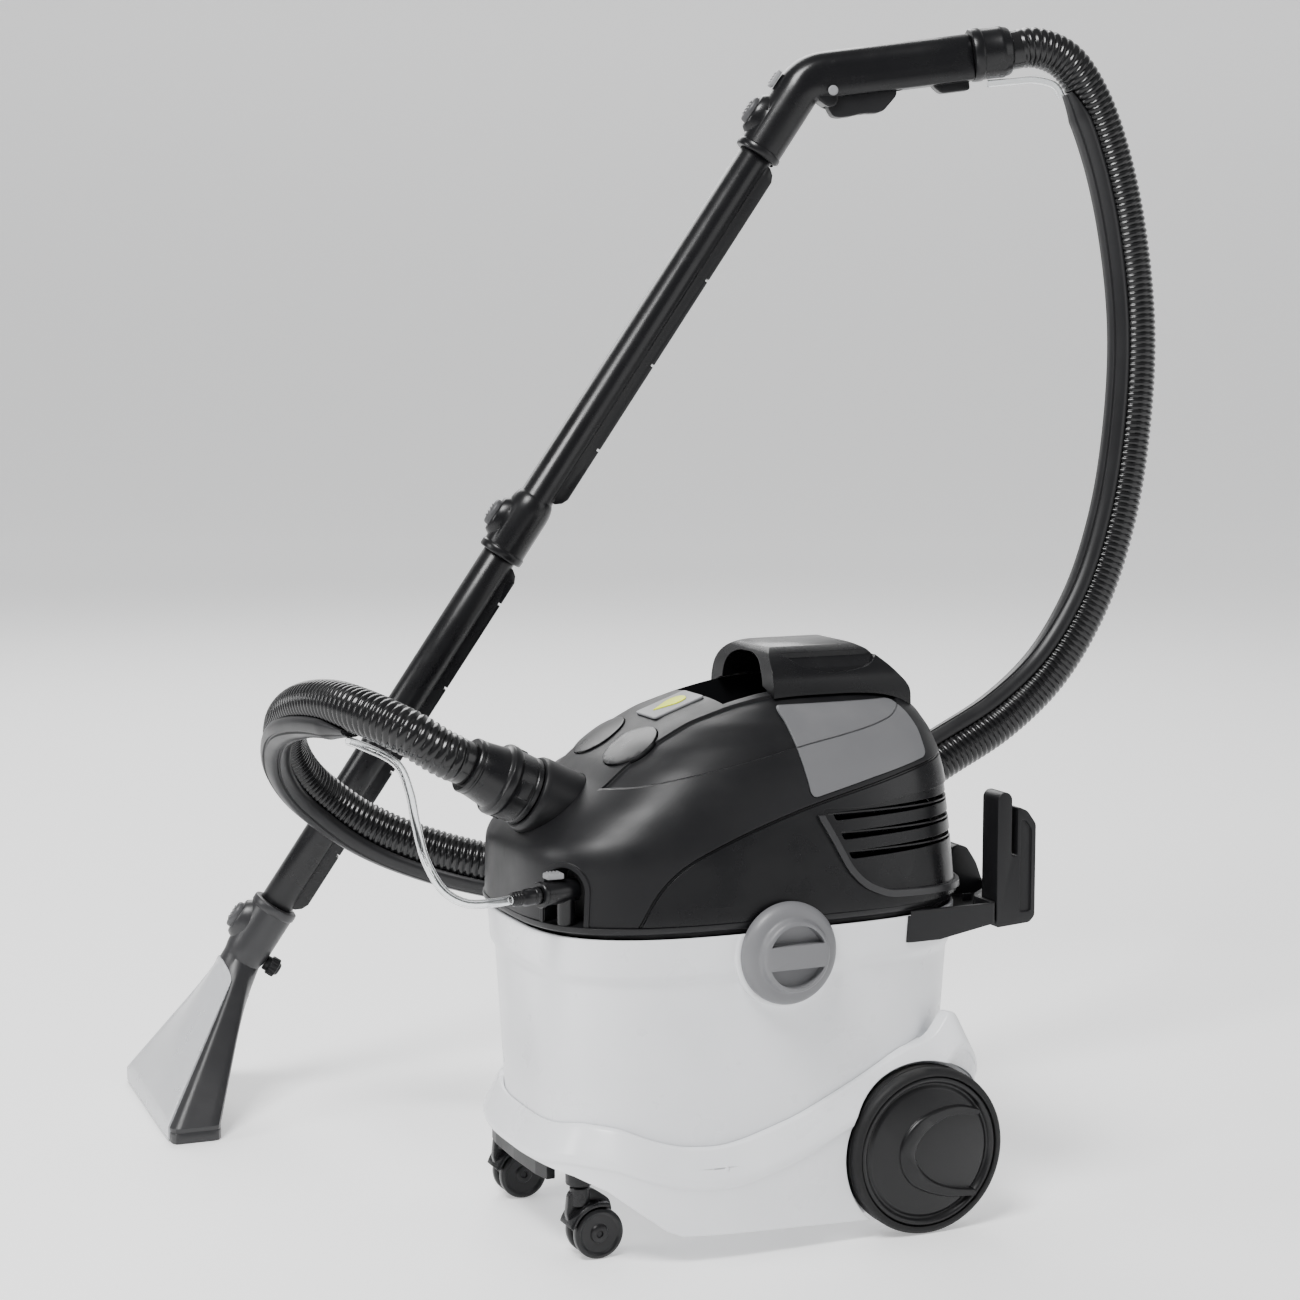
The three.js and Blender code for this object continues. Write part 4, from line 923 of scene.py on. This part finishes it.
def make_head():
    front, rear = head_shells()
    recess = panel_layer(0.5, 4, -1.6)
    cut(recess, block(-300, 300, -30, 30, 300, 500))
    cut(front, copy(recess))
    cut(rear, recess)
    cut(rear, rod(8.3, (150, 62, 284), (220, 62, 284)))
    cut(rear, both(through(LOUVRE), shell_layer(6, -1.6)))
    gaps = [(i, LOUVRE_Z + LOUVRE_PITCH * i, s) for i in range(3) for s in (-1, 1)]
    for i, z, s in gaps:
        mouth = rounded([(53 - 6 * i, z), (240, z + 6), (240, z + 12.4), (50 - 6 * i, z + 6.4)], 2.5)
        cut(rear, prism(mouth, *sorted((s * 140, s * 52)), "y"))
    frame_ring = both(cut(through(offset(LOUVRE, 5.6)), through(offset(LOUVRE, 0.4), 190)),
                      shell_layer(2.6, -2.0))
    cut(frame_ring, through([(-300, 338), (300, 338), (300, 500), (-300, 500)]))
    # The frame takes the charcoal grey, lighter than the satin black vent shell: painted highlight along the
    # raised lip round the louvres.
    piece("vent_frame", frame_ring, "charcoal", "head", smooth=30)
    blades = []
    for i, z, s in gaps:
        rings = [[(x, y, z + up) for x, y in plan(-150, end - i * 1.2, half - i * 1.4, rear=3.6)]
                 for up, end, half in BLADE]
        blade = loft(rings, close=True)
        blades.append(both(blade, block(48 - 7 * i, 230, *sorted((s * 140, s * 50)), 200, 400)))
    dark = stack([[286, -150, 162, 106], [352, -150, 158, 103]])
    cut(dark, block(-200, 40, -200, 200, 200, 400), block(-200, 160, -96, 96, 200, 400))
    pack(rear, dark, *blades)
    rim = both(cut(arch_tool(4.2, front=60), arch_tool(0.5, back=-60, front=70)), shell_layer(1.6, -1.5))
    cut(rim, block(-300, 300, -300, 300, 200, 262.4))
    pack(front, rim)
    piece("head_shell", front, "black", "head", "head_front_shell", smooth=30)
    piece("vent_shell", rear, "satin", "head", "vent_housing", smooth=30)
    panel = panel_layer(0, 0.9, -1.2)
    cut(panel, block(-300, 300, -30.4, 30.4, 300, 500))
    cut(panel, both(through(band(crease_line, 1.2)), shell_layer(3, 0.0)))
    for side, s in SIDES:
        half = both(copy(panel), block(-300, 300, *sorted((s * 30, s * 200)), 300, 500))
        piece(f"grey_panel_{side}", half, "grey", "head", f"side_panel_{side}", smooth=30)
    drop(panel)


make_head()


def head_flange():
    rows = [[256.3, -187.2, 179.2, 125.7], [256.9, -188.6, 180.6, 127.1], [258, -189.6, 181.6, 128.1],
            [260, -190, 182, 128.5], [262, -190, 182, 128.5]]
    plate = stack(rows, count=48)
    spigot = cut(stack([[244, -172, 167, 116], [246, -173, 168, 117], [256.6, -173, 168, 117]]),
                 stack([[240, -170, 165, 114], [258, -170, 165, 114]]))
    cut(plate, rod(15, (50, 0, 250), (50, 0, 270)))
    posts = [rod(4, (50 + x, y, 261), (50 + x, y, 298.7)) for x in (-46, 46) for y in (-46, 46)]
    return pack(plate, spigot, *posts)


piece("head_flange", head_flange(), "black", "head", "head_base")


# --- carry handle
def carry_handle():
    side = curve([(16, 405), (16.2, 430), (17.4, 446), (21, 455), (29, 460.6), (50, 462.2), (94, 461.8),
                  (107, 456.8), (118, 447.5), (128, 437.5), (138, 425), (139.5, 410)], 90)
    half = [(58.4, 405), (57.8, 428), (55, 438), (48.6, 447.4), (37.4, 455.6), (22, 461.2)]
    front = curve(arched(half, 463), 90)
    hood = both(through(side, 70), prism(front, -30, 160, "x"))
    arch = [(37, 396), (37, 429), (34, 440), (27, 448.4), (14, 453.4)]
    cut(hood, prism(curve(arched(arch, 454.2), 70), -40, 78, "x"))
    for s in (-1, 1):
        lens = curve([(30, 456), (44, 446), (66, 440), (90, 441), (108, 446), (120, 464), (66, 484),
                      (30, 474)], 60)
        under = [(0, 394), (57, 394), (56, 431), (48, 443.6), (35.4, 453), (21, 458.2), (0, 460.2)]
        slab = cut(block(0, 140, *sorted((s * 20, s * 90)), 424, 496),
                   loft([[(x, s * y, z) for y, z in under] for x in (-30, 160)]))
        cut(hood, both(prism(lens, *sorted((s * 38, s * 90)), "y"), slab))
    cut(hood, head_skin(0.3))
    bar = lathe([(0, 40), (7, 40), (8, 41), (8, 43), (7.4, 43.6), (7.4, 44.8), (8, 45.4), (8, 80), (0, 80)],
                place((0, 0, 441), (1, 0, 0)), 64)
    return fuse(hood, both(bar, block(36, 80.4, -20, 20, 420, 470)))


piece("handle_hood", carry_handle(), "satin", "head", "carry_handle", smooth=30)

# --- switches and badge
for name, node, body, s in (("switch_cap_near", "suction_switch", "switch_near", -1),
                            ("switch_cap_far", "spray_switch", "switch_far", 1)):
    m = place(switch_centre(s), SWITCH_AXIS)
    cap = both(lathe([(0, -9), (23.0, -9), (23.8, -8), (23.8, 16), (0, 16)], m, 96), head_skin(1.5))
    stem = lathe([(0, -12), (6, -12), (6, -8.6), (0, -8.6)], m, 48)
    piece(name, pack(soften(cap, 0.9, 3, 50), stem), "satin", body, node, smooth=40)

BADGE = place((-47.5, 0, 412.6), (-0.334, 0, 0.943), (0, 1, 0))
plate = soften(prism(rounded([(-19, -23), (19, -23), (19, 23), (-19, 23)], 3.5, 8), 0, 2.2, "z", BADGE), 0.7)
piece("badge_plate_face", plate, "button", "head")
drop_outline = curve([(0, 15), (4.2, 7), (8.2, 0), (9.4, -5), (6.8, -12), (0, -14.6), (-6.8, -12), (-9.4, -5),
                      (-8.2, 0), (-4.2, 7), (0, 15)], 60)[:-1]
piece("badge_drop", soften(prism(drop_outline, 1.9, 3.2, "z", BADGE), 0.5, angle=50), "lens", "head")

# --- wand tubes, sleeves and latches
TUBE_R, BORE, TUBE_BORE, SLEEVE_R = 16.0, 16.35, 14.2, 20.4
NOZZLE_SEAT, MIDDLE_SEAT, UPPER_SEAT = 194, 635, 1070


def oval_stack(z, rows):
    """Ovals square to the wand's X at height z on its axis: rows of [x, half width, half length]."""
    return loft([[(x, ry * math.cos(t), z + rz * math.sin(t)) for t in turns(56)] for x, ry, rz in rows],
                WAND)


def wand_rod(r, z0, z1):
    return lathe([(0, z0), (r, z0), (r, z1), (0, z1)], WAND, 72)


def latch_seat(z):
    return oval_stack(z, [(-12, 15.6, 24), (-17.5, 14.9, 21.6), (-21.2, 13.9, 19.2), (-23.6, 12.9, 17.6),
                          (-24.7, 12.0, 16.6), (-25.1, 10.9, 15.4)])


def latch_well(z):
    return oval_stack(z, [(-17.6, 9.7, 13.2), (-40, 9.7, 13.2)])


def latch_button(name, node, body, z):
    cap = oval_stack(z, [(-21.4, 9.2, 12.7), (-27.2, 9.2, 12.7), (-28.5, 8.9, 12.3), (-29.5, 8.1, 11.4),
                         (-30.1, 6.6, 9.7), (-30.3, 3, 5)])
    ridges = [soften(block(-31.2, -29.4, -5.8, 5.8, z + d - 0.8, z + d + 0.8, WAND), 0.4, 2)
              for d in (-5.4, -1.8, 1.8, 5.4)]
    piece(name, pack(cap, *ridges), "latch", body, node)


def rail(z0, z1):
    """The spray line's channel under the tube, with clip gaps along it and ramped ends."""
    half = [(12.6, 8.6), (16.6, 7.6), (23.2, 7.0), (24.6, 6.2), (25, 5), (25, 2.8), (23.6, 2.4)]
    section = [(x, -y) for x, y in half] + half[::-1]
    rings = []
    for z, k in ((z0, 0.3), (z0 + 4, 0.75), (z0 + 10, 1), (z1 - 10, 1), (z1 - 4, 0.75), (z1, 0.3)):
        rings.append([(13.6 + (x - 13.6) * k, y, z) for x, y in section])
    body = loft(rings, WAND)
    for z in np.arange(z0 + 62, z1 - 30, 92):
        cut(body, block(22.2, 30, -9, 9, z, z + 2.6, WAND))
    return body


def lip(z0):
    """A sleeve's rolled lip from its end at z0."""
    return [(19.8, z0), (20.9, z0 + 0.5), (21.5, z0 + 1.4), (21.6, z0 + 6.4), (21.1, z0 + 7.4),
            (SLEEVE_R, z0 + 8)]


def tube_profile(z0, z1, sleeve=None):
    """A tube's section from z0 to z1, with a wider sleeve at its lower end if the sleeve's top is given."""
    top = [(TUBE_R, z1 - 0.6), (TUBE_R - 0.5, z1), (TUBE_BORE + 0.5, z1), (TUBE_BORE, z1 - 0.6)]
    if not sleeve:
        return [(TUBE_BORE + 0.5, z0), (TUBE_R - 0.5, z0), (TUBE_R, z0 + 0.6), *top, (TUBE_BORE, z0 + 0.6)]
    return lip(z0) + [(SLEEVE_R, sleeve - 17), (20.1, sleeve - 12), (19.3, sleeve - 7.4),
                      (18.1, sleeve - 3.6), (16.9, sleeve - 1.2), (TUBE_R, sleeve), *top,
                      (TUBE_BORE, sleeve - 17.6), (BORE, sleeve - 18.2), (BORE, z0)]


lower = lathe(tube_profile(184, 648), WAND, 72)
lower_rail = cut(rail(227, 600), wand_rod(15, 200, 640))
piece("wand_tube_lower", fuse(lower, lower_rail), "satin", "lower_wand", "lower_tube", smooth=40)

upper = lathe(tube_profile(604, 1088, 668), WAND, 72)
upper_rail = cut(rail(671, 1035), wand_rod(15, 640, 1080))
seat = cut(latch_seat(MIDDLE_SEAT), wand_rod(BORE + 0.4, 590, 652))
fuse(upper, upper_rail, seat)
cut(upper, latch_well(MIDDLE_SEAT))
piece("wand_tube_upper", upper, "satin", "upper_wand", "upper_tube", smooth=40)
latch_button("middle_button", "middle_latch", "tube_latch", MIDDLE_SEAT)
latch_button("upper_button", "upper_latch", "grip_latch", UPPER_SEAT)


# --- grip, trigger, slider and collar
GRIP_LENGTH = 152


def grip_outline():
    """The bar's section in the grip frame: a rounded top, flat sides and a narrower chamfered underside."""
    arc = [(-3 + 17 * math.cos(a), 17 * math.sin(a)) for a in np.linspace(math.pi / 2, 1.5 * math.pi, 33)]
    half = [(6, 17), (14, 16.6), (18.4, 15.8), (21, 14.2), (22.6, 12.2), (23, 9)]
    return arc + [(x, -y) for x, y in half] + half[::-1]


def grip_elbow():
    """Sections from the wand's axis round the bend to the grip's, circle to bar, then along the bar."""
    count = 84
    outline = grip_outline()
    bar, _ = spaced(outline + outline[:1], count, endpoint=False)
    start = math.atan2(bar[0, 1], bar[0, 0])
    ring = circle(SLEEVE_R, turns(count, start))
    a, corner, b = at(WAND, 0, 0, 1107), at(WAND, 0, 0, BEND), at(GRIP, 0, 0, 17)
    rings = [[at(WAND, x, y, z) for x, y in ring] for z in (1090, 1098)]
    for t in np.linspace(0, 1, 13):
        centre = (1 - t) ** 2 * a + 2 * t * (1 - t) * corner + t * t * b
        rings.append([centre + bent(KICK * t) * x + SIDE * y for x, y in ring * (1 - t) + bar * t])
    end = GRIP_LENGTH
    for z, inset in ((40, 0), (90, 0), (120, 0), (end - 1.4, 0), (end - 0.4, 0.5), (end, 1.4)):
        rings.append([at(GRIP, x * (1 - inset / 20), y * (1 - inset / 20), z) for x, y in bar])
    return loft([[tuple(p) for p in r] for r in rings])


def grip_prism(outline, y0, y1):
    """An outline (x, z) of the grip frame carried across it."""
    return loft([[(x, y, z) for x, z in outline] for y in (y0, y1)], GRIP)


def hand_grip():
    body = grip_elbow()
    tail = rounded([(15, 112), (24, 114), (31, 121), (31, 148), (15, 148)], 3)
    guard = rounded([(12, 4), (24, 6), (31, 14), (31, 20), (26, 24), (12, 24)], 4)
    sleeve = lathe([(0, 1038), *lip(1038), (SLEEVE_R, 1094), (0, 1094)], WAND, 84)
    fuse(body, sleeve, latch_seat(UPPER_SEAT), soften(grip_prism(tail, -6.6, 6.6), 1.2),
         soften(grip_prism(guard, -13.4, 13.4), 1.6))
    cut(body, wand_rod(BORE, 1030, 1090.5), latch_well(UPPER_SEAT), block(13.0, 40, -9, 9, 1000, 1041, WAND),
        block(10.2, 50, -9, 9, 12.4, 86, GRIP))
    foot = GRIP_LENGTH - 4
    return pack(body, lathe([(12, foot), (15, foot), (15, 185), (14.4, 186), (12, 186)], GRIP, 48))


piece("grip_body", hand_grip(), "satin", "head", "hand_grip", smooth=38)

LEVER = rounded([(12, 14), (20, 13), (32, 14.6), (39.4, 18), (41.2, 24), (41.2, 34), (40.2, 42), (40.2, 50),
                 (41.2, 58), (40.2, 65), (28, 78.6), (20.6, 80), (19.8, 66), (19.8, 34), (12.6, 25)], 2.4, 4)
trigger = soften(grip_prism(LEVER, -8.4, 8.4), 1.5)
for z in (34, 40, 46, 52):
    cut(trigger, grip_prism([(38.4, z - 0.6), (44, z - 0.6), (44, z + 0.6), (38.4, z + 0.6)], -7, 7))
piece("trigger_lever", trigger, "black", "trigger", "spray_trigger")

pin = lathe([(0, -17.6), (3.6, -17.6), (4.4, -18.4), (4.6, -19.4), (3.8, -20.2), (0, -20.4)][::-1]
            + [(2.5, -17.6), (2.5, 17.6), (4.4, 17.6), (4.6, 19.4), (3.8, 20.2), (0, 20.4)],
            place(at(GRIP, 17, 0, 19), SIDE, GRIP_AXIS), 40)
piece("trigger_pin_heads", pin, "button", "head", "trigger_pin")

thumb = rounded([(-7, 1097), (7, 1097), (7, 1113.6), (-7, 1113.6)], 3)
thumb = soften(prism(thumb, -25.4, -21.2, "x", WAND), 0.8)
grooves = [soften(block(-26.4, -25, -5.4, 5.4, z, z + 1.3, WAND), 0.35, 2) for z in (1100, 1103, 1106, 1109)]
piece("air_thumb", pack(thumb, *grooves), "button", "slider", "air_slider")

collar = lathe([(15.4, 152.6), (22.4, 152.6), (23.6, 153.2), (24.2, 154.4), (24.2, 161), (23.7, 162),
                (23.1, 162.6), (23.1, 178), (23.4, 179), (23.4, 182), (22.8, 183), (21.8, 187.4),
                (20.6, 189.2), (19.2, 190), (15.4, 190)], GRIP, 84)
piece("hose_collar", collar, "satin", "collar", "hose_end_collar")

# --- floor nozzle
NOSE_YAW = math.radians(-3)
NOSE = np.array((math.cos(NOSE_YAW), math.sin(NOSE_YAW), 0))
NOZZLE = axes(NOSE, (-NOSE[1], NOSE[0], 0), Z, (-353, 440.7, 0))
THROAT_TURN = math.atan2(SIDE @ NOSE, UNDER @ NOSE)
FOOT_COUNT, THROAT, APEX_START = 28, 162, 0.86


def foot_ring(inset=0.0, z=14.0):
    ring = plan(-20 + inset, 27 - inset, 114 - inset, front=16, rear=10, count=FOOT_COUNT)
    return np.array([at(NOZZLE, x, y, z) for x, y in ring])


def throat_ring(r, z):
    t = np.arange(4 * FOOT_COUNT) * math.pi / 2 / FOOT_COUNT + THROAT_TURN
    return np.array([at(WAND, r * math.cos(a), r * math.sin(a), z) for a in t])


def funnel_ring(v, inset=0.0):
    """A section of the nozzle, v from 0 at the foot to 1 at the throat, eased into the throat."""
    foot, throat = foot_ring(inset, 14), throat_ring(18.4 - inset, THROAT)
    return foot * (1 - v) + throat * v


SOCKET = ((18.9, 165), (19.6, 168), (20.2, 172), (SLEEVE_R, 177), (SLEEVE_R, 213.6), (21.1, 214.4),
          (21.6, 215.4), (21.6, 220), (21.2, 221.4), (20.2, 222), (BORE, 222), (BORE, 183.5), (14, 183.2),
          (14, 170))


def nozzle_shell():
    rings = [foot_ring(1.0, 0), foot_ring(0.3, 0.5), foot_ring(0, 1.6), foot_ring(0, 9), foot_ring(0.5, 9.8),
             foot_ring(0.5, 10.6), foot_ring(0, 11.4)]
    rings += [funnel_ring(v) for v in (0, 0.1, 0.2, 0.3, 0.4, 0.5, 0.6, 0.7, 0.8, 0.88, 0.95, 1)]
    rings += [throat_ring(r, z) for r, z in SOCKET]
    rings += [funnel_ring(v, 2.8) for v in (1, 0.8, 0.6, 0.4, 0.2, 0)]
    rings += [foot_ring(2.8, 6), foot_ring(2.6, 0.6), foot_ring(2.0, 0)]
    return loft([r.tolist() for r in rings], close=True)


def window_patch(grow, out, inner):
    """The front panel: a skin over the front face with a raised rim and a rounded apex."""
    apex = APEX_START + 0.085 * np.sin(np.linspace(0.12, 1, 9) * math.pi / 2)
    v_rows = np.concatenate([[-0.08, -0.06, -0.03], np.linspace(0.0, APEX_START, 24), apex])
    edge = FOOT_COUNT * 114 / (114 + 23.5) - 1.6 + grow
    columns = np.linspace(-1, 1, 45)
    index = np.arange(4 * FOOT_COUNT)
    grid = []
    for v in v_rows:
        ring = funnel_ring(v) if v >= 0 else foot_ring(0, 14 + 140 * v)
        k = max(0.0, (v - APEX_START) / 0.086)
        reach = edge * math.sqrt(max(0.02, 1 - min(1, k) ** 2 * 0.97))
        places = 2 * FOOT_COUNT + columns * reach
        grid.append(np.stack([np.interp(places, index, ring[:, i]) for i in range(3)], 1))
    grid = np.array(grid)
    along, across = np.gradient(grid, axis=0), np.gradient(grid, axis=1)
    n = np.cross(along, across)
    n /= np.linalg.norm(n, axis=2)[..., None]
    if (n.mean((0, 1)) @ NOSE) > 0:
        n = -n
    rim = np.zeros(grid.shape[:2])
    if out > 0 and grow == 0:
        from_side = (1 - np.abs(columns))[None, :] * 112 * (1 - v_rows)[:, None]
        from_end = np.minimum(v_rows - v_rows[0], v_rows[-1] - v_rows)[:, None] * 150
        near = np.minimum(from_side, from_end)
        rim = np.clip((5.5 - near) / 1.6, 0, 1) * 1.1
    upper_skin = grid + n * (out + rim)[..., None]
    lower_skin = grid - n * inner
    rings = [np.concatenate([upper_skin[i], lower_skin[i][::-1]]).tolist() for i in range(len(grid))]
    return loft(rings)


nozzle = nozzle_shell()
fuse(nozzle, cut(latch_seat(NOZZLE_SEAT), wand_rod(BORE + 0.3, 183.5, 230), wand_rod(14.4, 150, 190)))
cut(nozzle, latch_well(NOZZLE_SEAT))
cut(nozzle, window_patch(0.12, 4, 1.5))
for k in (-1, 0, 1):
    rings = []
    for h in (16, 60, 104):
        front, back = -12 + h * 0.56, 20 + h * 0.5
        corners = (front, -1), (back, -1), (back, 1), (front, 1)
        rings.append([at(NOZZLE, u, k * 34 * (1 - h / 190) + w, h) for u, w in corners])
    pack(nozzle, loft(rings))
piece("nozzle_shell", nozzle, "charcoal", "nozzle", "nozzle_body", smooth=34)
piece("nozzle_front", window_patch(0, 0.4, 1.4), "frost", "nozzle", "nozzle_window", smooth=50)
latch_button("nozzle_button_cap", "nozzle_latch", "nozzle_button", NOZZLE_SEAT)

TIP = place(at(WAND, 21, 0, 170), UNDER, ALONG)
tip = lathe([(0, -1), (6.6, -1), (7, 0), (7, 3), (8.6, 3.6), (9, 4.6), (9, 10.4), (8.6, 11.4), (6.4, 12),
             (5.4, 13.6), (4.4, 14.2), (0, 14.2)], TIP, 60)
for a in np.arange(12) * math.pi / 6:
    cut(tip, rod(1.0, at(TIP, 9.2 * math.cos(a), 9.2 * math.sin(a), 2),
                 at(TIP, 9.2 * math.cos(a), 9.2 * math.sin(a), 13), 12))
piece("spray_tip_cap", tip, "black", "nozzle", "spray_tip")

# --- spray elbow, release and cable gland
elbow = lathe([(0, -8), (9, -8), (9, 21), (8.7, 22), (9.6, 22.4), (10, 23), (10, 25.2), (9.4, 26), (6.6, 26),
               (6.6, 18), (0, 18)], PLUG, 64)
down = lathe([(0, 262.4), (7, 262.4), (7, 280), (7.6, 282), (7.6, 288), (0, 288)],
             place((*PLUG_SEAT[:2], 0), Z), 48)
piece("spray_elbow_body", pack(elbow, down), "satin", "head", "spray_elbow")
x, y, z = at_plug(12) + np.array((0, 0, 10.8))
tab = soften(block(x - 7, x + 7, y - 5, y + 5, z, z + 4.5), 1.1)
bars = [soften(block(x + d - 0.6, x + d + 0.6, y - 4, y + 4, z + 4, z + 5.3), 0.3, 2)
        for d in (-4, -1.3, 1.3, 4)]
piece("release_tab", pack(tab, *bars), "button", "release", "spray_release")
gland = lathe([(0, -10), (7.9, -10), (7.9, 10.6), (8.3, 11.2), (11, 11.2), (11.6, 12), (11.6, 14.6),
               (10.6, 15.8), (9, 16), (8.6, 19), (8.6, 20), (7.6, 20.6), (7.4, 23), (6.6, 24.2), (4.2, 24.2),
               (4.2, 14), (0, 14)], place((181, 62, 284), (1, 0, 0)), 60)
piece("cable_grommet", gland, "rubber", "head", "cable_gland")


# --- rear bracket and storage hooks
def rear_bracket():
    """A tray behind the tank: an upright lip, a floor on ribs and a humped back rib in the middle."""
    half = [(100, 125), (179.4, 125), (182.6, 122), (182.9, 118), (182.9, 94), (188, 87), (204, 72.5),
            (214, 59), (222, 41)]
    edge = rounded(half + [(x, -y) for x, y in reversed(half)], 5, 4)
    body = prism(edge, 232, 257)
    cut(body, prism(offset(edge, -3.4), 246, 270))
    cut(body, through([(60, 210), (60, 231), (124, 231), (182.9, 241), (250, 241), (250, 210)], 150))
    hump = rounded([(190, 242), (190, 284), (195, 288), (206, 285.5), (215, 272), (221.6, 255),
                    (221.6, 242)], 3)
    rise = soften(through(hump, 38.6), 1.6)
    cut(rise, through(rounded([(194, 250), (194, 280), (204, 280), (216, 256), (216, 250)], 2), 34))
    fuse(body, rise)
    cut(body, stack([tank_row(z, 0.35) for z in (200, 214, 217, 224, 228, 253, 260)]),
        stack([[253.3, -190, 186, 131], [300, -190, 186, 131]]))
    for y in (-86, -62, 62, 86):
        pack(body, soften(block(184 if abs(y) > 80 else 188, 196, y - 1.3, y + 1.3, 245.6, 252), 0.5, 2))
    return body


piece("bracket_tray", rear_bracket(), "black", "base", "rear_bracket")

HOOK_LINE = [(183.4, 236), (214, 238), (219, 243), (219, 318), (211, 329), (202, 333), (202, 293),
             (196.5, 293), (196.5, 341), (193, 345), (187, 345), (183.4, 341)]
for side, s in SIDES:
    y0, y1 = sorted((s * 99, s * 123))
    horn = soften(prism(rounded(HOOK_LINE, 2.4, 5), y0, y1, "y"), 2.0)
    for y_face, y_in in ((s * 123.4, s * 121.2), (s * 98.6, s * 100.8)):
        panel = prism(rounded([(204.6, 247), (215, 247), (215, 314), (209, 322), (204.6, 322)], 2.5),
                      *sorted((y_face, y_in)), "y")
        cut(horn, panel)
    piece(f"hook_{side}", horn, "black", "base", f"storage_hook_{side}")

# --- carried-over nodes, floor and light
CARRIED = {"liquid_container": "natural", "suction_motor": "can", "fan_rotor": "natural",
           "float_ball": "lens", "rear_axle": "steel", "rim_seal": "rubber"}
for name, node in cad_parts.items():
    dress(node, CARRIED.get(name, "black"))


def studio():
    """A pale floor that curves up into a backdrop, a dim world and large soft lamps."""
    bend = [(7.0 + 2.0 * math.sin(a), 2.0 - 2.0 * math.cos(a)) for a in np.linspace(0, math.pi / 2, 14)]
    profile = [(-14, 0), (-2, 0), (3, 0)] + bend + [(9.0, 14)]
    away, across = Vector((0.407, 0.914, 0)), Vector((0.914, -0.407, 0))
    verts = [away * d + across * w + Vector((0, 0, h)) for d, h in profile for w in (-16, 16)]
    faces = [(2 * i, 2 * i + 1, 2 * i + 3, 2 * i + 2) for i in range(len(profile) - 1)]
    floor_mesh = bpy.data.meshes.new("floor")
    floor_mesh.from_pydata(verts, [], faces)
    floor_mesh.polygons.foreach_set("use_smooth", [True] * len(faces))
    floor = bpy.data.objects.new("floor", floor_mesh)
    bpy.context.scene.collection.objects.link(floor)
    pale = Nodes("pale_floor")
    pale.set(Base_Color=(0.9, 0.9, 0.9, 1), Roughness=0.6, Emission_Color=(1, 1, 1, 1), Emission_Strength=0.4)
    floor_mesh.materials.append(pale.mat)
    world = bpy.data.worlds.new("studio")
    world.use_nodes = True
    world.node_tree.nodes["Background"].inputs["Color"].default_value = (0.97, 0.98, 1, 1)
    world.node_tree.nodes["Background"].inputs["Strength"].default_value = 0.3
    bpy.context.scene.world = world
    look = np.array((0.0, 0.1, 0.45))
    lamps = (("key", (-1.7, -1.5, 3.5), 1.3, 190), ("fill", (2.8, -2.8, 1.5), 2.2, 26),
             ("back", (0.6, 3.0, 3.0), 2.4, 110), ("strip_light", (-3.0, 0.4, 1.6), 1.0, 34))
    for name, where, size, power in lamps:
        data = bpy.data.lights.new(name, "AREA")
        data.size, data.energy = size, power
        lamp = bpy.data.objects.new(name, data)
        lamp.location = where
        lamp.rotation_euler = Vector(look - np.array(where)).to_track_quat("-Z", "Y").to_euler()
        bpy.context.scene.collection.objects.link(lamp)


studio()
